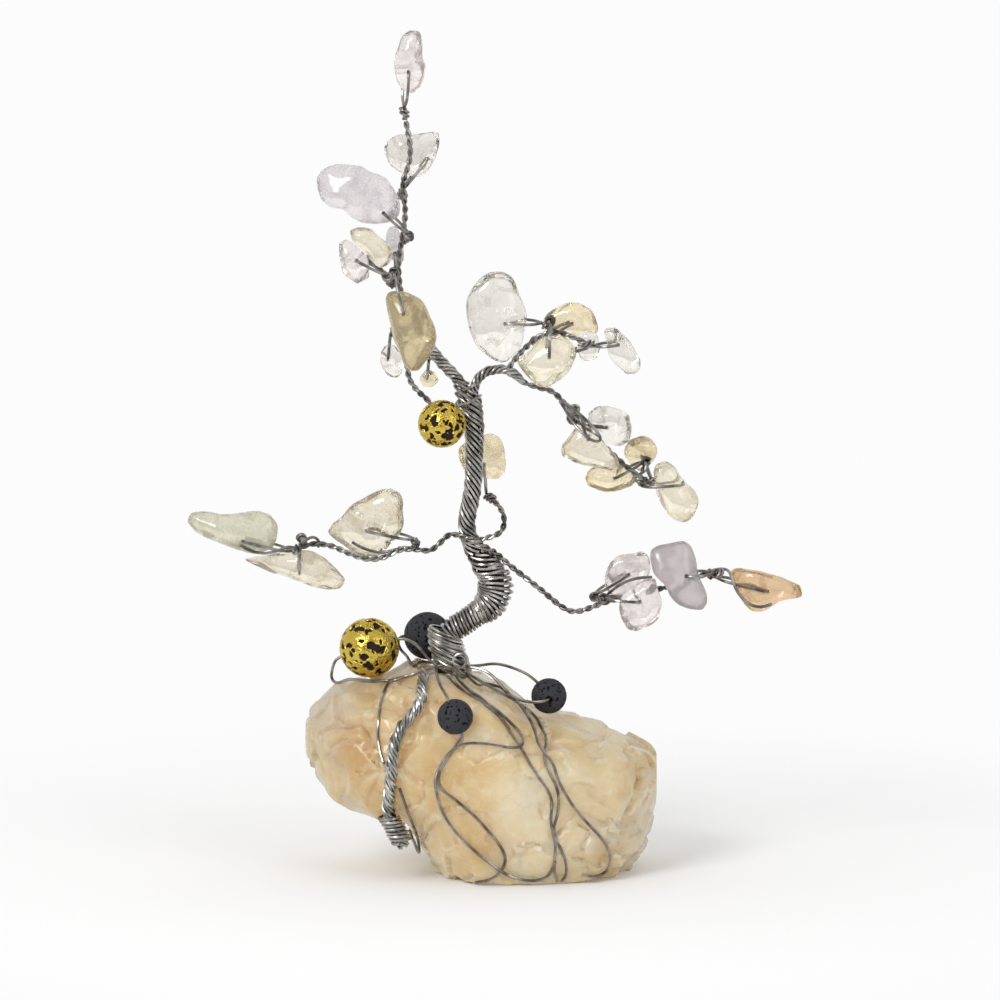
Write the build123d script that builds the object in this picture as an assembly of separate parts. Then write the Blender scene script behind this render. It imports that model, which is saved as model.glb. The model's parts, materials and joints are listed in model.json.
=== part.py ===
from build123d import *
from dataclasses import dataclass
from math import ceil, cos, inf, pi, radians, sin, sqrt
import os

# Driving dimensions, millimetres. The foot of the stone is z = 0 and its middle is x = 0.
STONE_WIDTH = 58.0
STONE_FRONT_DEPTH = 18.5
STONE_BACK_DEPTH = 17.0
TREE_RISE = 105.0
WIRE_DIAMETER = 0.5
TWIST_DIAMETER = 1.0
BUNDLE_DIAMETER = 2.1
TRUNK_CORE_DIAMETER = 1.8
BOUND_CORE_DIAMETER = 3.2
KNOT_CORE_DIAMETER = 3.9
KNOT_PITCH = 0.95
CLOSE_PITCH = 1.3
BEND_PITCH = 1.8
STRAND_LAY = 13.0
LARGE_BEAD = 10.0
MEDIUM_BEAD = 8.0
SMALL_BEAD = 6.0
BEAD_BORE = 1.2
CHIP_BORE = 0.7
ROOT_ROPE_DIAMETER = 1.9
ROOT_COIL_PITCH = 1.0
BEAD_LEAD = 0.9
BEAD_HOOK = 1.6

# Clearances, margins and steps along a path, millimetres
WIND_GAP = 0.06
LEG_GAP = 0.12
STONE_GAP = 0.12
SEAT_GAP = 0.05
BORE_OVERRUN = 6.0
FLOOR_GAP = 0.2
FOLD_GAP = 0.05
LEG_LEAD = 0.35
TWIST_LEAD = 0.2
CORE_STEP = 2.0
BUNDLE_STEP = 2.0
LAID_STEP = 2.5

# Form of a tumbled chip: stations along it, fullness, skew, roughness and its flat faces
CHIP_STATION_SHARES = (-1, -0.84, -0.4, 0.3, 0.8, 1)
CHIP_FULLNESS_POWER = 3.2
CHIP_END_SHARE = 0.42
CHIP_SKEW_SHARE = 0.08
CHIP_ROUGH_SHARE = 0.09
CHIP_ROUGH_LIMIT_SHARE = 1.04
CHIP_FACET_SHARE = 1.06
CHIP_FLAT_SHARE = 0.8

# Spread of a twig's two legs, how far to each side they clear the chip's rim, and the angle of
# the flat round a bead's mouth
LEG_SPREAD_SHARE = 0.55
LEG_SIDE_ANGLES = (radians(-18), radians(0), radians(18))
BEAD_MOUTH_ANGLE = radians(24)

# Counts
TRUNK_STRANDS = 12
WIRE_SIDES = 4
TWIST_SIDES = 5
ROPE_SIDES = 6
CORE_SIDES = 10
CHIP_SIDES = 8
BORE_SIDES = 6
BEAD_BANDS = 5
BEAD_SIDES = 12
STRAND_STEPS = 7
COIL_POINTS_A_TURN = 2
GAP_POINTS_A_TURN = 24

# The reference view: pixels across the stone and up the tree, the point between the stone's
# feet, the foot of the trunk, and the angle that the view looks down by.
STONE_WIDTH_PIXELS = 361
TREE_RISE_PIXELS = 643
STONE_FOOT_PIXELS = (500, 870)
TREE_FOOT_PIXELS = (447, 672)
LOOK_DOWN = radians(9.5)
STONE_SCALE = STONE_WIDTH / STONE_WIDTH_PIXELS
TREE_SCALE = TREE_RISE / TREE_RISE_PIXELS

# Outline of the rough stone seen from the front, and its middle
STONE_MIDDLE_PIXELS = (490, 775)
STONE_OUTLINE_PIXELS = [
    (301, 722), (305, 752), (320, 787), (340, 805), (379, 814), (409, 825), (424, 849),
    (440, 882), (470, 915), (520, 925), (575, 915), (622, 890), (648, 845), (659, 800),
    (662, 765), (655, 750), (621, 732), (588, 721), (560, 714), (529, 703), (505, 688),
    (480, 677), (450, 672), (429, 669), (409, 662), (384, 678), (358, 681), (330, 688),
    (315, 702),
]
STONE_LATITUDES = 9
STONE_FULLNESS_SHARE = 0.62
STONE_ROUGH_SHARE = 0.035
LEFT_DEPTH_SHARE = 0.68
RIM_ANGLE = radians(12)
SEAT_RING_SHARES = (0, 0.33, 0.65, 0.98)
BESIDE_STONE_SHARE = 0.32

# Axis of the bound lower trunk: corners and the radius of each bend, pixels
BOUND_AXIS_PIXELS = [(447, 672), (447, 634), (507, 594), (476, 552)]
BOUND_BEND_PIXELS = [18, 27]
KNOT_LENGTH_SHARE = 0.23
KNOT_START_SHARE = 0.02
KNOT_END_SHARE = 0.185
WINDING_START_SHARE = 0.28
WINDING_END_SHARE = 0.94
BEND_START_SHARE = 0.50
BEND_END_SHARE = 0.88

# Axis of the upper trunk, the leader and the arch: across, down and depth, pixels
UPPER_TRUNK_PIXELS = [
    (476, 552, 0), (468, 536, 0), (466, 520, 0), (471, 500, 0), (474, 478, 0), (474, 455, 0),
    (475, 430, 0), (472, 405, 0), (469, 392, 0),
]
LEADER_PIXELS = [
    (462, 390, 0), (461, 384, 0), (453, 374, 2), (439, 360, 7), (426, 342, 9), (415, 322, 8),
    (406, 304, 6),
]
BEAD_TWIG_PIXELS = [
    (411, 334, 2), (406, 350, 0), (407, 366, 0), (409, 380, -6), (417, 391, -16),
]
LEADER_TIP_PIXELS = [
    (405, 303, 6), (400, 290, 5), (398, 262, 4), (403, 235, 4), (406, 215, 4), (404, 195, -2),
    (403, 182, -12), (410, 165, -15), (411, 148, -14), (408, 132, -7), (406, 123, -3),
]
ARCH_PIXELS = [
    (476, 390, 0), (476, 383, 0), (480, 374, 0), (490, 369, 0), (506, 369, 0), (516, 375, 0),
    (524, 383, 0),
]

# Wires on the stone: across, down and, where they leave the stone, depth, pixels. A name in a
# route is the bead that the wire is threaded through there.
ROOT_ROPE_PIXELS = [
    (424, 668, -22), (421, 682), (421, 706), (407, 717), (396, 733), (392, 751), (391, 768),
    (390, 788), (387, 808),
]
ROOT_COIL_PIXELS = [(389, 819), (404, 847)]
COIL_START_SHARE = 0.08
COIL_END_SHARE = 0.84
ROOT_WIRES_PIXELS = {
    "root_wire_gold_bead": [[
        (432, 664, -12), (424, 653, -10), (417, 640, -8), "bead_gold_large", (328, 667, -10),
        (329, 680, -20), (345, 682, -36), (363, 684, -42), (390, 684), (404, 680), (414, 673),
    ]],
    "root_wire_back_bead": [[
        (449, 655, 21), (460, 644, 34), "bead_black_back", (396, 644, 40), (405, 655, 30),
        (418, 660, 18), (430, 661, 5),
    ]],
    "root_wires_left": [
        [(383, 690), (377, 714), (379, 748), (385, 766)],
        [(399, 788), (405, 806), (411, 822), (417, 838), (417, 852)],
    ],
    "root_wires_middle": [
        [(441, 679), (444, 689), "bead_black_front", (458, 743), (446, 762), (438, 776),
         (446, 789), (470, 810), (495, 832), (508, 849), (508, 864), (498, 878), (482, 887)],
        [(468, 740), (482, 743), (500, 748), (513, 746)],
        [(438, 795), (446, 813), (457, 833), (473, 849), (492, 864), (518, 880), (545, 886)],
    ],
    "root_wires_right": [
        [(447, 682), (460, 688), (486, 702), (506, 722), (524, 746), (538, 767), (548, 790),
         (553, 812), (555, 840), (556, 862), (550, 880)],
        [(469, 679, -20), (484, 683), (500, 695), (518, 712), (536, 732), (548, 746),
         (558, 766), (567, 796), (580, 815), (596, 831), (611, 848), (616, 862), (606, 877),
         (588, 878)],
        [(563, 812), (561, 830), (564, 848), (569, 868), (567, 885)],
    ],
    "root_wire_right_bead": [[
        (466, 670, -10), (486, 677, -16), (500, 686, -28), (516, 694, -42), (534, 701, -58),
        "bead_black_right", (545, 688, -4), (530, 675, 0), (518, 668, 4), (500, 665, 8),
        (482, 664, 8), (468, 662, 6),
    ]],
}

# Chips: middle, size, turn of the long axis and yaw in degrees, hole, side that the twig comes
# from in degrees, and the twig's route back to the wire that carries it, pixels
@dataclass(frozen=True)
class Chip:
    name: str
    middle: tuple
    size: tuple
    turn: float
    yaw: float
    hole: tuple
    arrival: float
    twig: str
    route: tuple
    swing: float = 8.0
    taper_share: float = 0.0


CHIPS = [
    Chip("chip_rose_tip", (409, 63, 0), (68, 30, 26), 84, 10, (407, 72), 266, "leader_twist",
         ((405, 121, -2),)),
    Chip("chip_clear_upper", (412, 156, 16), (61, 46, 24), -5, 0, (428, 158), 232,
         "upper_twigs", ((404, 200, 4),)),
    Chip("chip_lavender_large", (359, 197, -26), (98, 50, 34), -30, 0, (384, 212), -42,
         "upper_twigs", ((409, 240, -14), (406, 247, 0))),
    Chip("chip_cream", (372, 253, -14), (66, 30, 24), 45, 0, (368, 257), -48,
         "upper_twigs", ((392.5, 284, -8.5),)),
    Chip("chip_pink_small", (354, 258, -44), (46, 35, 22), 90, 0, (357, 260), -28,
         "upper_twigs", ((388, 280, -34), (393.7, 287.4, -14.8))),
    Chip("chip_rose_back", (394, 248, 28), (42, 26, 20), 88, 0, (395, 252), 272,
         "upper_twigs", ((399, 287, 9.7),)),
    Chip("chip_smoky", (411, 333, -26), (86, 50, 34), 105, 0, (404, 312), 104,
         "upper_twigs", ((395, 273, -14), (398, 285, -6))),
    Chip("chip_clear_low", (388, 361, 18), (35, 27, 18), 90, 0, (388, 358), 84,
         "leader_twigs", ((397, 328, 18), (410.5, 325.5, 15.5))),
    Chip("chip_orange_small", (427, 379, 34), (28, 24, 16), 0, 0, (427, 378), 84,
         "leader_twigs", ((430, 352, 26), (430, 350, 17))),
    Chip("chip_yellow_trunk", (483, 457, 36), (52, 50, 28), 70, 0, (484, 462), 274,
         "trunk_twig", ((493, 500, 30), (502, 510, 22), (505, 522, 14), (501, 534, 8),
                        (480, 540, 4))),
    Chip("chip_clear_oval", (495, 319, -22), (100, 62, 30), 98, 0, (505, 322), -2,
         "arch_twigs", ((546, 326, -22), (550, 329, -25))),
    Chip("chip_yellow_pale", (573, 322, 10), (60, 42, 24), 12, 0, (572, 322), 208,
         "arch_twigs", ((534, 342, 1), (541, 338, -10))),
    Chip("chip_cream_angular", (546, 366, -54), (68, 54, 28), 20, 0, (549, 356), 88,
         "arch_twigs", ((550, 320, -44), (553, 331, -28))),
    Chip("chip_clear_small", (587, 347, -8), (32, 28, 16), 90, 0, (587, 347), 196,
         "arch_twigs", ((562.5, 338, -25),)),
    Chip("chip_clear_end", (623, 350, -32), (58, 28, 22), -57, 0, (618, 344), 186,
         "arch_twigs", ((578, 340, -32), (560, 332, -28), (542, 334, -18),
                            (526, 347, -8), (513, 362, 0))),
    Chip("chip_clear_front", (584, 444, -28), (52, 44, 22), 60, 0, (588, 438), 112,
         "right_twigs", ((569, 408, -4.8),)),
    Chip("chip_clear_back", (609, 424, 24), (48, 44, 24), 20, 0, (607, 426), 172,
         "right_twigs", ((569.8, 411.7, 3),)),
    Chip("chip_yellow_wide", (611, 478, 18), (58, 36, 22), -8, 0, (614, 477), 28,
         "right_twigs", ((649, 460, 10), (640.9, 473.9, -2.1))),
    Chip("chip_yellow_back", (640, 453, 48), (42, 32, 20), 80, 0, (642, 455), 292,
         "right_twigs", ((654, 484, 38), (653, 485, 9))),
    Chip("chip_green_end", (677, 492, -8), (68, 38, 24), -64, 0, (683, 483), 184,
         "right_twigs", ((640, 477, -5), (625, 466, -3), (606, 448, -2),
                         (590, 432, -2), (575, 414, -2), (563, 402, 0), (553, 391, 0),
                         (540, 388, 0), (526, 384, 0))),
    Chip("chip_rose_matte", (628, 570, 20), (46, 44, 24), 60, 0, (629, 573), 212,
         "lower_twigs", ((597.9, 600.5, 1.3),)),
    Chip("chip_clear_glossy", (640, 609, -28), (52, 46, 26), 80, 0, (640, 600), 176,
         "lower_twigs", ((600.1, 600.9, -5.8),)),
    Chip("chip_lavender_grey", (679, 576, -26), (75, 48, 28), -65, 0, (686, 574), 2,
         "lower_twigs", ((722, 573, -18), (716, 572, -8))),
    Chip("chip_amber_end", (766, 586, -4), (78, 40, 26), -12, 0, (768, 590), 166,
         "lower_twist", ((708, 572, -2), (690, 582, -2), (655, 590, -2),
                         (620, 598, -2), (600, 604, -2), (580, 612, -2), (566, 611, 0),
                         (545, 593, 0), (526, 578, 0), (509, 565, 0), (498, 553, 0)),
         taper_share=0.55),
    Chip("chip_clear_left", (366, 523, 8), (88, 52, 26), 35, 0, (366, 529), -12,
         "left_twigs", ((415, 544, 2),)),
    Chip("chip_green_end_left", (232, 531, -12), (98, 38, 28), -10, 0, (243, 539), -14,
         "left_twist", ((297, 549, -10), (312, 543, -6), (330, 545, -10), (348, 553, -16),
                        (366, 560, -18), (384, 558, -14), (400, 549, -6), (416, 549, 0),
                        (430, 552, 0), (440, 543, 0), (449, 534, 0), (457, 536, 0))),
    Chip("chip_clear_flat", (295, 569, 24), (112, 38, 20), -13, 0, (299, 572), 88,
         "left_twigs", ((305, 543.8, -3.1),)),
]

def in_view(pixels, foot_pixels, foot, scale):
    """Point of the object for a point of the view: across, down and depth, all in pixels."""
    across, down, depth = pixels
    y = depth * scale
    rise = (foot_pixels[1] - down) * scale
    z = (rise - y * sin(LOOK_DOWN)) / cos(LOOK_DOWN)
    return Vector(foot.X + (across - foot_pixels[0]) * scale, y, foot.Z + z)


def ring_solid(rings, apexes=None):
    """Solid through rings of points: two triangles a side, and a flat face or a fan at each end."""
    faces = []
    if apexes is None:
        faces.append(Face(Wire.make_polygon(rings[0])))
        faces.append(Face(Wire.make_polygon(rings[-1])))
    else:
        for ring, apex in ((rings[0], apexes[0]), (rings[-1], apexes[1])):
            for a, b in zip(ring, ring[1:] + ring[:1]):
                faces.append(Face(Wire.make_polygon([a, b, apex])))
    for lower, upper in zip(rings, rings[1:]):
        corners = list(zip(lower, lower[1:] + lower[:1], upper, upper[1:] + upper[:1]))
        for a, b, c, d in corners:
            faces.append(Face(Wire.make_polygon([a, b, d])))
            faces.append(Face(Wire.make_polygon([a, d, c])))
    solid = Solid(Shell(faces))
    return solid if solid.volume > 0 else Solid(solid.wrapped.Reversed())


def smooth(points, turn_limit=36):
    """Points of a curve that rounds each corner from mid-run to mid-run, few where it is straight."""
    path = [points[0]]
    for a, b, c in zip(points, points[1:], points[2:]):
        start = (a + b) / 2
        end = (b + c) / 2
        if b == points[1]:
            start = a + (b - a) * 0.5
        turn = (b - a).get_angle(c - b)
        steps = max(1, ceil(turn / turn_limit))
        for step in range(steps):
            share = (step + 0.5) / steps
            near = start + (b - start) * share
            far = b + (end - b) * share
            path.append(near + (far - near) * share)
    path.append(points[-1])
    return path


def frames(path):
    """Tangent and two normals at each point of a path, carried along it without twist."""
    found = []
    normal = None
    for index, point in enumerate(path):
        before = path[max(index - 1, 0)]
        after = path[min(index + 1, len(path) - 1)]
        tangent = (after - before).normalized()
        if normal is None:
            side = Vector(0, 1, 0)
            if abs(tangent.dot(side)) > 0.9:
                side = Vector(1, 0, 0)
            normal = side
        normal = (normal - tangent * normal.dot(tangent)).normalized()
        found.append((point, tangent, normal, tangent.cross(normal)))
    return found


def unfolded(path, radius):
    """Path without those points at which a wire of this radius would fold into itself."""
    kept = list(path)
    while True:
        rings = frames(kept)
        folded = None
        for index in range(len(kept) - 1):
            run = kept[index + 1] - kept[index]
            lean = sum(
                sin(radians(min(rings[place][1].get_angle(run), 90)))
                for place in (index, index + 1)
            )
            if run.length < radius * lean + FOLD_GAP:
                folded = index
                break
        if folded is None or len(kept) < 3:
            return kept
        spare = [place for place in (folded, folded + 1) if 0 < place < len(kept) - 1]
        turns = [(kept[i] - kept[i - 1]).get_angle(kept[i + 1] - kept[i]) for i in spare]
        kept.pop(spare[turns.index(min(turns))])


def tube(path, radii, sides):
    """Wire with a flat-sided section along a path; radii is one radius or one for each point."""
    if not isinstance(radii, list):
        path = unfolded(path, radii)
        radii = [radii] * len(path)
    rings = []
    for (point, _, normal, other), radius in zip(frames(path), radii):
        ring = []
        for side in range(sides):
            angle = 2 * pi * side / sides
            ring.append(point + normal * (radius * cos(angle)) + other * (radius * sin(angle)))
        rings.append(ring)
    return ring_solid(rings)


def strands(path, core_radius, count, strand_diameter, lay):
    """Separate wires laid round a core: one solid each."""
    centre_radius = (core_radius + WIND_GAP + strand_diameter / 2) / cos(pi / STRAND_STEPS)
    made = []
    length = 0.0
    lengths = [0.0]
    for a, b in zip(path, path[1:]):
        length += (b - a).length
        lengths.append(length)
    for strand in range(count):
        route = []
        for (point, _, normal, other), along in zip(frames(path), lengths):
            angle = 2 * pi * (strand / count - along / lay)
            route.append(point + (normal * cos(angle) + other * sin(angle)) * centre_radius)
        made.append(tube(route, strand_diameter / 2, WIRE_SIDES))
    return made


def evenly(curve, start_share, end_share, step):
    """Points along a curve between two shares of its length, about one step apart."""
    count = max(2, ceil(curve.length * (end_share - start_share) / step))
    return [curve @ (start_share + (end_share - start_share) * i / count) for i in range(count + 1)]


def biarc(start, start_tangent, end, end_tangent):
    """Two tangent arcs that join two points with their tangents."""
    across = end - start
    both = start_tangent + end_tangent
    slack = 2 * (1 - start_tangent.dot(end_tangent))
    reach = across.dot(both)
    handle = (sqrt(reach * reach + slack * across.dot(across)) - reach) / slack
    near = start + start_tangent * handle
    far = end - end_tangent * handle
    middle = (near + far) / 2
    return [
        Edge.make_tangent_arc(start, start_tangent, middle),
        Edge.make_tangent_arc(middle, (far - near).normalized(), end),
    ]


def winding(axis, start_share, end_share, radius, pitch_at, name):
    """Binding wire wound round an axis that lies in one plane: one unbroken tube of biarcs."""
    places = [start_share * axis.length]
    while places[-1] < end_share * axis.length:
        pitch = pitch_at(places[-1] / axis.length)
        places.append(places[-1] + pitch / COIL_POINTS_A_TURN)

    def point_at(turn):
        quarter = min(max(turn * COIL_POINTS_A_TURN, 0), len(places) - 1)
        index = min(int(quarter), len(places) - 2)
        along = places[index] + (places[index + 1] - places[index]) * (quarter - index)
        share = min(along / axis.length, 1)
        tangent = axis % share
        side = Vector(0, 1, 0)
        angle = 2 * pi * turn
        out = side * cos(angle) + tangent.cross(side) * sin(angle)
        return (axis @ share) + out * radius

    turns = (len(places) - 1) / COIL_POINTS_A_TURN
    small = 0.01
    points = []
    for quarter in range(len(places)):
        turn = quarter / COIL_POINTS_A_TURN
        tangent = point_at(min(turn + small, turns)) - point_at(max(turn - small, 0))
        points.append((point_at(turn), tangent.normalized()))
    edges = []
    for (a, a_tangent), (b, b_tangent) in zip(points, points[1:]):
        edges += biarc(a, a_tangent, b, b_tangent)
    start = Plane(origin=points[0][0], z_dir=points[0][1])
    section = start * RegularPolygon(WIRE_DIAMETER / 2, WIRE_SIDES)
    coil = Solid.sweep(section.face(), Wire(edges))
    fine = [point_at(i / GAP_POINTS_A_TURN) for i in range(int(turns * GAP_POINTS_A_TURN) + 1)]
    least = inf
    for i, a in enumerate(fine):
        for b in fine[i + GAP_POINTS_A_TURN // 2:]:
            least = min(least, (a - b).length)
    print(name, "turns", turns, "least gap to itself", round(least - WIRE_DIAMETER, 3), "mm")
    return coil


# Stone
def stone_rings():
    """Rings of the rough stone from front to back, with its two outermost points."""
    foot = Vector(0, 0, 0)
    middle_x, middle_z = STONE_MIDDLE_PIXELS
    middle = in_view((middle_x, middle_z, 0), STONE_FOOT_PIXELS, foot, STONE_SCALE)
    rings = []
    for latitude in range(1, STONE_LATITUDES):
        angle = -pi / 2 + pi * latitude / STONE_LATITUDES
        reach = cos(angle) ** STONE_FULLNESS_SHARE
        ring = []
        for index, (across, down) in enumerate(STONE_OUTLINE_PIXELS):
            edge = in_view((across, down, 0), STONE_FOOT_PIXELS, foot, STONE_SCALE) - middle
            bump = sin(2.3 * index + 1.7 * latitude) + sin(1.1 * index * latitude + 0.6)
            bump *= STONE_ROUGH_SHARE * sin(pi * latitude / STONE_LATITUDES)
            if abs(angle) < RIM_ANGLE:
                bump = 0
            leftness = max(0, -edge.X) / (STONE_WIDTH / 2)
            deep = STONE_BACK_DEPTH if angle > 0 else STONE_FRONT_DEPTH
            deep *= 1 - (1 - LEFT_DEPTH_SHARE) * min(leftness, 1) * reach
            place = middle + edge * (reach * (1 + bump))
            ring.append(Vector(place.X, deep * sin(angle) * (1 + bump), place.Z))
        rings.append(ring)
    front = Vector(middle.X, -STONE_FRONT_DEPTH, middle.Z)
    back = Vector(middle.X, STONE_BACK_DEPTH, middle.Z)
    return rings, (front, back)


def stone_triangles(rings, apexes, last):
    """Corners of the triangles from the stone's front to its last ring, as plain numbers."""
    triangles = []
    first = rings[0]
    for a, b in zip(first, first[1:] + first[:1]):
        triangles.append((a, b, apexes[0]))
    for lower, upper in zip(rings[:last], rings[1:]):
        corners = zip(lower, lower[1:] + lower[:1], upper, upper[1:] + upper[:1])
        for a, b, c, d in corners:
            triangles.append((a, b, d))
            triangles.append((a, d, c))
    return [tuple(tuple(corner) for corner in triangle) for triangle in triangles]


RINGS, APEXES = stone_rings()
FRONT_TRIANGLES = stone_triangles(RINGS, APEXES, STONE_LATITUDES // 2)
ALL_TRIANGLES = stone_triangles(RINGS, APEXES, STONE_LATITUDES)


def stone_front(x, z):
    """Depth at which a line from the front first meets the stone, or infinity beside it."""
    return first_hit(FRONT_TRIANGLES, x, z)


def stone_top(x, y):
    """Height at which a line from above first meets the stone."""
    turned = [tuple((cx, -cz, cy) for cx, cy, cz in triangle) for triangle in ALL_TRIANGLES]
    return -first_hit(turned, x, y)


def first_hit(triangles, x, z):
    """Least middle coordinate at which a line at x and z meets the triangles, or infinity."""
    nearest = inf
    for (ax, ay, az), (bx, by, bz), (cx, cy, cz) in triangles:
        if x < min(ax, bx, cx) or x > max(ax, bx, cx):
            continue
        if z < min(az, bz, cz) or z > max(az, bz, cz):
            continue
        area = (bx - ax) * (cz - az) - (cx - ax) * (bz - az)
        if area == 0:
            continue
        v = ((x - ax) * (cz - az) - (cx - ax) * (z - az)) / area
        w = ((bx - ax) * (z - az) - (x - ax) * (bz - az)) / area
        if v >= 0 and w >= 0 and v + w <= 1:
            nearest = min(nearest, ay + v * (by - ay) + w * (cy - ay))
    return nearest


def seat_on_stone(x, z, radius):
    """Depth of the middle of a ball that touches the stone's front, less the stone gap."""
    reach = radius + STONE_GAP
    depth = inf
    for ring_share in SEAT_RING_SHARES:
        for step in range(8 if ring_share else 1):
            out = reach * ring_share
            dx = out * cos(pi * step / 4)
            dz = out * sin(pi * step / 4)
            front = stone_front(x + dx, z + dz)
            depth = min(depth, front - sqrt(reach * reach - out * out))
    return depth


def on_stone(pixels, radius, beside=0.0):
    """Point of a wire or bead that lies on the stone's front; beside is its depth off the stone."""
    foot = Vector(0, 0, 0)
    if len(pixels) == 3:
        return in_view(pixels, STONE_FOOT_PIXELS, foot, STONE_SCALE)
    depth = beside
    for _ in range(6):
        point = in_view((*pixels, depth / STONE_SCALE), STONE_FOOT_PIXELS, foot, STONE_SCALE)
        z = max(point.Z, radius + FLOOR_GAP)
        found = seat_on_stone(point.X, z, radius)
        if found < inf:
            depth = found
    return Vector(point.X, depth, z)


def through_bead(name, before):
    """Four points of a wire that runs straight through a bead, from the side it comes from."""
    bead = next(bead for bead in BEADS if bead.name == name)
    middle = bead_middle(bead)
    way = bead_way(bead)
    if (before - middle).dot(way) > 0:
        way = -way
    inner = bead.diameter / 2 - BEAD_LEAD
    outer = bead.diameter / 2 + BEAD_LEAD
    return [middle + way * reach for reach in (-outer, -inner, inner, outer)]


def laid_wire(pixels, radius):
    """Path of a wire along the stone, pushed out wherever a run would cut into it."""
    points = []
    for place in pixels:
        if isinstance(place, str):
            points += through_bead(place, points[-1])
        else:
            points.append(on_stone(place, radius))
    path = smooth(points)
    fine = [path[0]]
    for a, b in zip(path, path[1:]):
        parts = max(1, ceil((b - a).length / LAID_STEP))
        fine += [a + (b - a) * (i + 1) / parts for i in range(parts)]
    for _ in range(3):
        for index in range(len(fine)):
            point = fine[index]
            seat = seat_on_stone(point.X, point.Z, radius)
            fine[index] = Vector(point.X, min(point.Y, seat), point.Z)
        for index in range(len(fine) - 1):
            a, b = fine[index], fine[index + 1]
            middle = (a + b) / 2
            short = middle.Y - seat_on_stone(middle.X, middle.Z, radius)
            if short > 0:
                fine[index] = Vector(a.X, a.Y - short, a.Z)
                fine[index + 1] = Vector(b.X, b.Y - short, b.Z)
    return fine


def tree_foot():
    """Foot of the trunk, seated on the highest bump of the stone under it."""
    foot = on_stone((*TREE_FOOT_PIXELS, 0), 0)
    tops = []
    for step in range(8):
        for share in (0, 0.5, 1):
            reach = KNOT_CORE_DIAMETER / 2 * share
            tops.append(stone_top(foot.X + reach * cos(pi * step / 4), reach * sin(pi * step / 4)))
    return Vector(foot.X, 0, max(tops) + SEAT_GAP)


TREE_FOOT = tree_foot()


def in_tree(pixels):
    """Point of the tree for a point of the view."""
    return in_view(pixels, TREE_FOOT_PIXELS, TREE_FOOT, TREE_SCALE)


def make_stone():
    """Rough two-lobed stone, sawn flat under its foot."""
    rough = ring_solid(RINGS, APEXES)
    return rough.split(Plane.XY, keep=Keep.TOP)


# Trunk
def bound_axis():
    """Axis of the bound lower trunk, in one plane."""
    corners = [in_tree((x, y, 0)) for x, y in BOUND_AXIS_PIXELS]
    radii = [r * TREE_SCALE for r in BOUND_BEND_PIXELS]
    return FilletPolyline(*corners, radius=radii)


def make_trunk():
    """Core, strands, binding winding and root knot of the trunk."""
    lower = bound_axis()
    upper = Spline(*[in_tree(p) for p in UPPER_TRUNK_PIXELS])
    lower_path = evenly(lower, 0, 1, CORE_STEP)
    upper_path = evenly(upper, 0, 1, STRAND_LAY / STRAND_STEPS)
    radii = []
    for index in range(len(lower_path)):
        share = index / (len(lower_path) - 1)
        knot = share < KNOT_LENGTH_SHARE
        radii.append((KNOT_CORE_DIAMETER if knot else BOUND_CORE_DIAMETER) / 2)
    radii[-1] = TRUNK_CORE_DIAMETER / 2
    radii += [TRUNK_CORE_DIAMETER / 2] * (len(upper_path) - 1)
    core = tube(lower_path + upper_path[1:], radii, CORE_SIDES)
    outer = strands(upper_path[1:], TRUNK_CORE_DIAMETER / 2, TRUNK_STRANDS, WIRE_DIAMETER, STRAND_LAY)
    knot_radius = (KNOT_CORE_DIAMETER + WIRE_DIAMETER) / 2 + WIND_GAP
    knot = winding(lower, KNOT_START_SHARE, KNOT_END_SHARE, knot_radius,
                   lambda share: KNOT_PITCH, "root_knot")
    bound_radius = (BOUND_CORE_DIAMETER + WIRE_DIAMETER) / 2 + WIND_GAP

    def pitch_at(share):
        return BEND_PITCH if BEND_START_SHARE < share < BEND_END_SHARE else CLOSE_PITCH

    bound = winding(lower, WINDING_START_SHARE, WINDING_END_SHARE, bound_radius, pitch_at,
                    "trunk_winding")
    return core, outer, knot, bound


# Chips on their twigs
def chip_frame(chip):
    """Across, bore and up directions of a chip."""
    yaw = radians(chip.yaw)
    return Vector(cos(yaw), sin(yaw), 0), Vector(-sin(yaw), cos(yaw), 0), Vector(0, 0, 1)


def chip_rings(chip):
    """Rings of a tumbled chip along its long axis."""
    across, bore, up = chip_frame(chip)
    turn = radians(chip.turn)
    long_way = across * cos(turn) + up * sin(turn)
    wide_way = up * cos(turn) - across * sin(turn)
    length, width, thick = (size * TREE_SCALE for size in chip.size)
    middle = in_tree(chip.middle)
    seed = sum(chip.middle) + chip.turn
    rings = []
    for station_share in CHIP_STATION_SHARES:
        swell = sqrt(1 - abs(station_share) ** CHIP_FULLNESS_POWER)
        if abs(station_share) == 1:
            swell = CHIP_END_SHARE
        swell *= 1 - chip.taper_share * max(0, station_share)
        skew = CHIP_SKEW_SHARE * sin(seed + 3 * station_share)
        ring = []
        for side in range(CHIP_SIDES):
            angle = 2 * pi * (side + 0.5) / CHIP_SIDES
            rough = 1 + CHIP_ROUGH_SHARE * sin(seed * 1.3 + 2.1 * side + 1.9 * station_share)
            rough = min(rough, CHIP_ROUGH_LIMIT_SHARE) * CHIP_FACET_SHARE
            wide = width / 2 * swell * rough * cos(angle) + width * skew
            deep = thick / 2 * swell * CHIP_FACET_SHARE * sin(angle)
            along = length / 2 * station_share
            ring.append(middle + long_way * along + wide_way * wide + bore * deep)
        rings.append(ring)
    return rings


def chip_hole(chip):
    """Middle of a chip's drilled hole, on the chip's middle plane."""
    across, bore, up = chip_frame(chip)
    middle = in_tree(chip.middle)
    flat = in_tree((*chip.hole, chip.middle[2])) - middle
    return middle + across * flat.X + up * flat.Z


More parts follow.
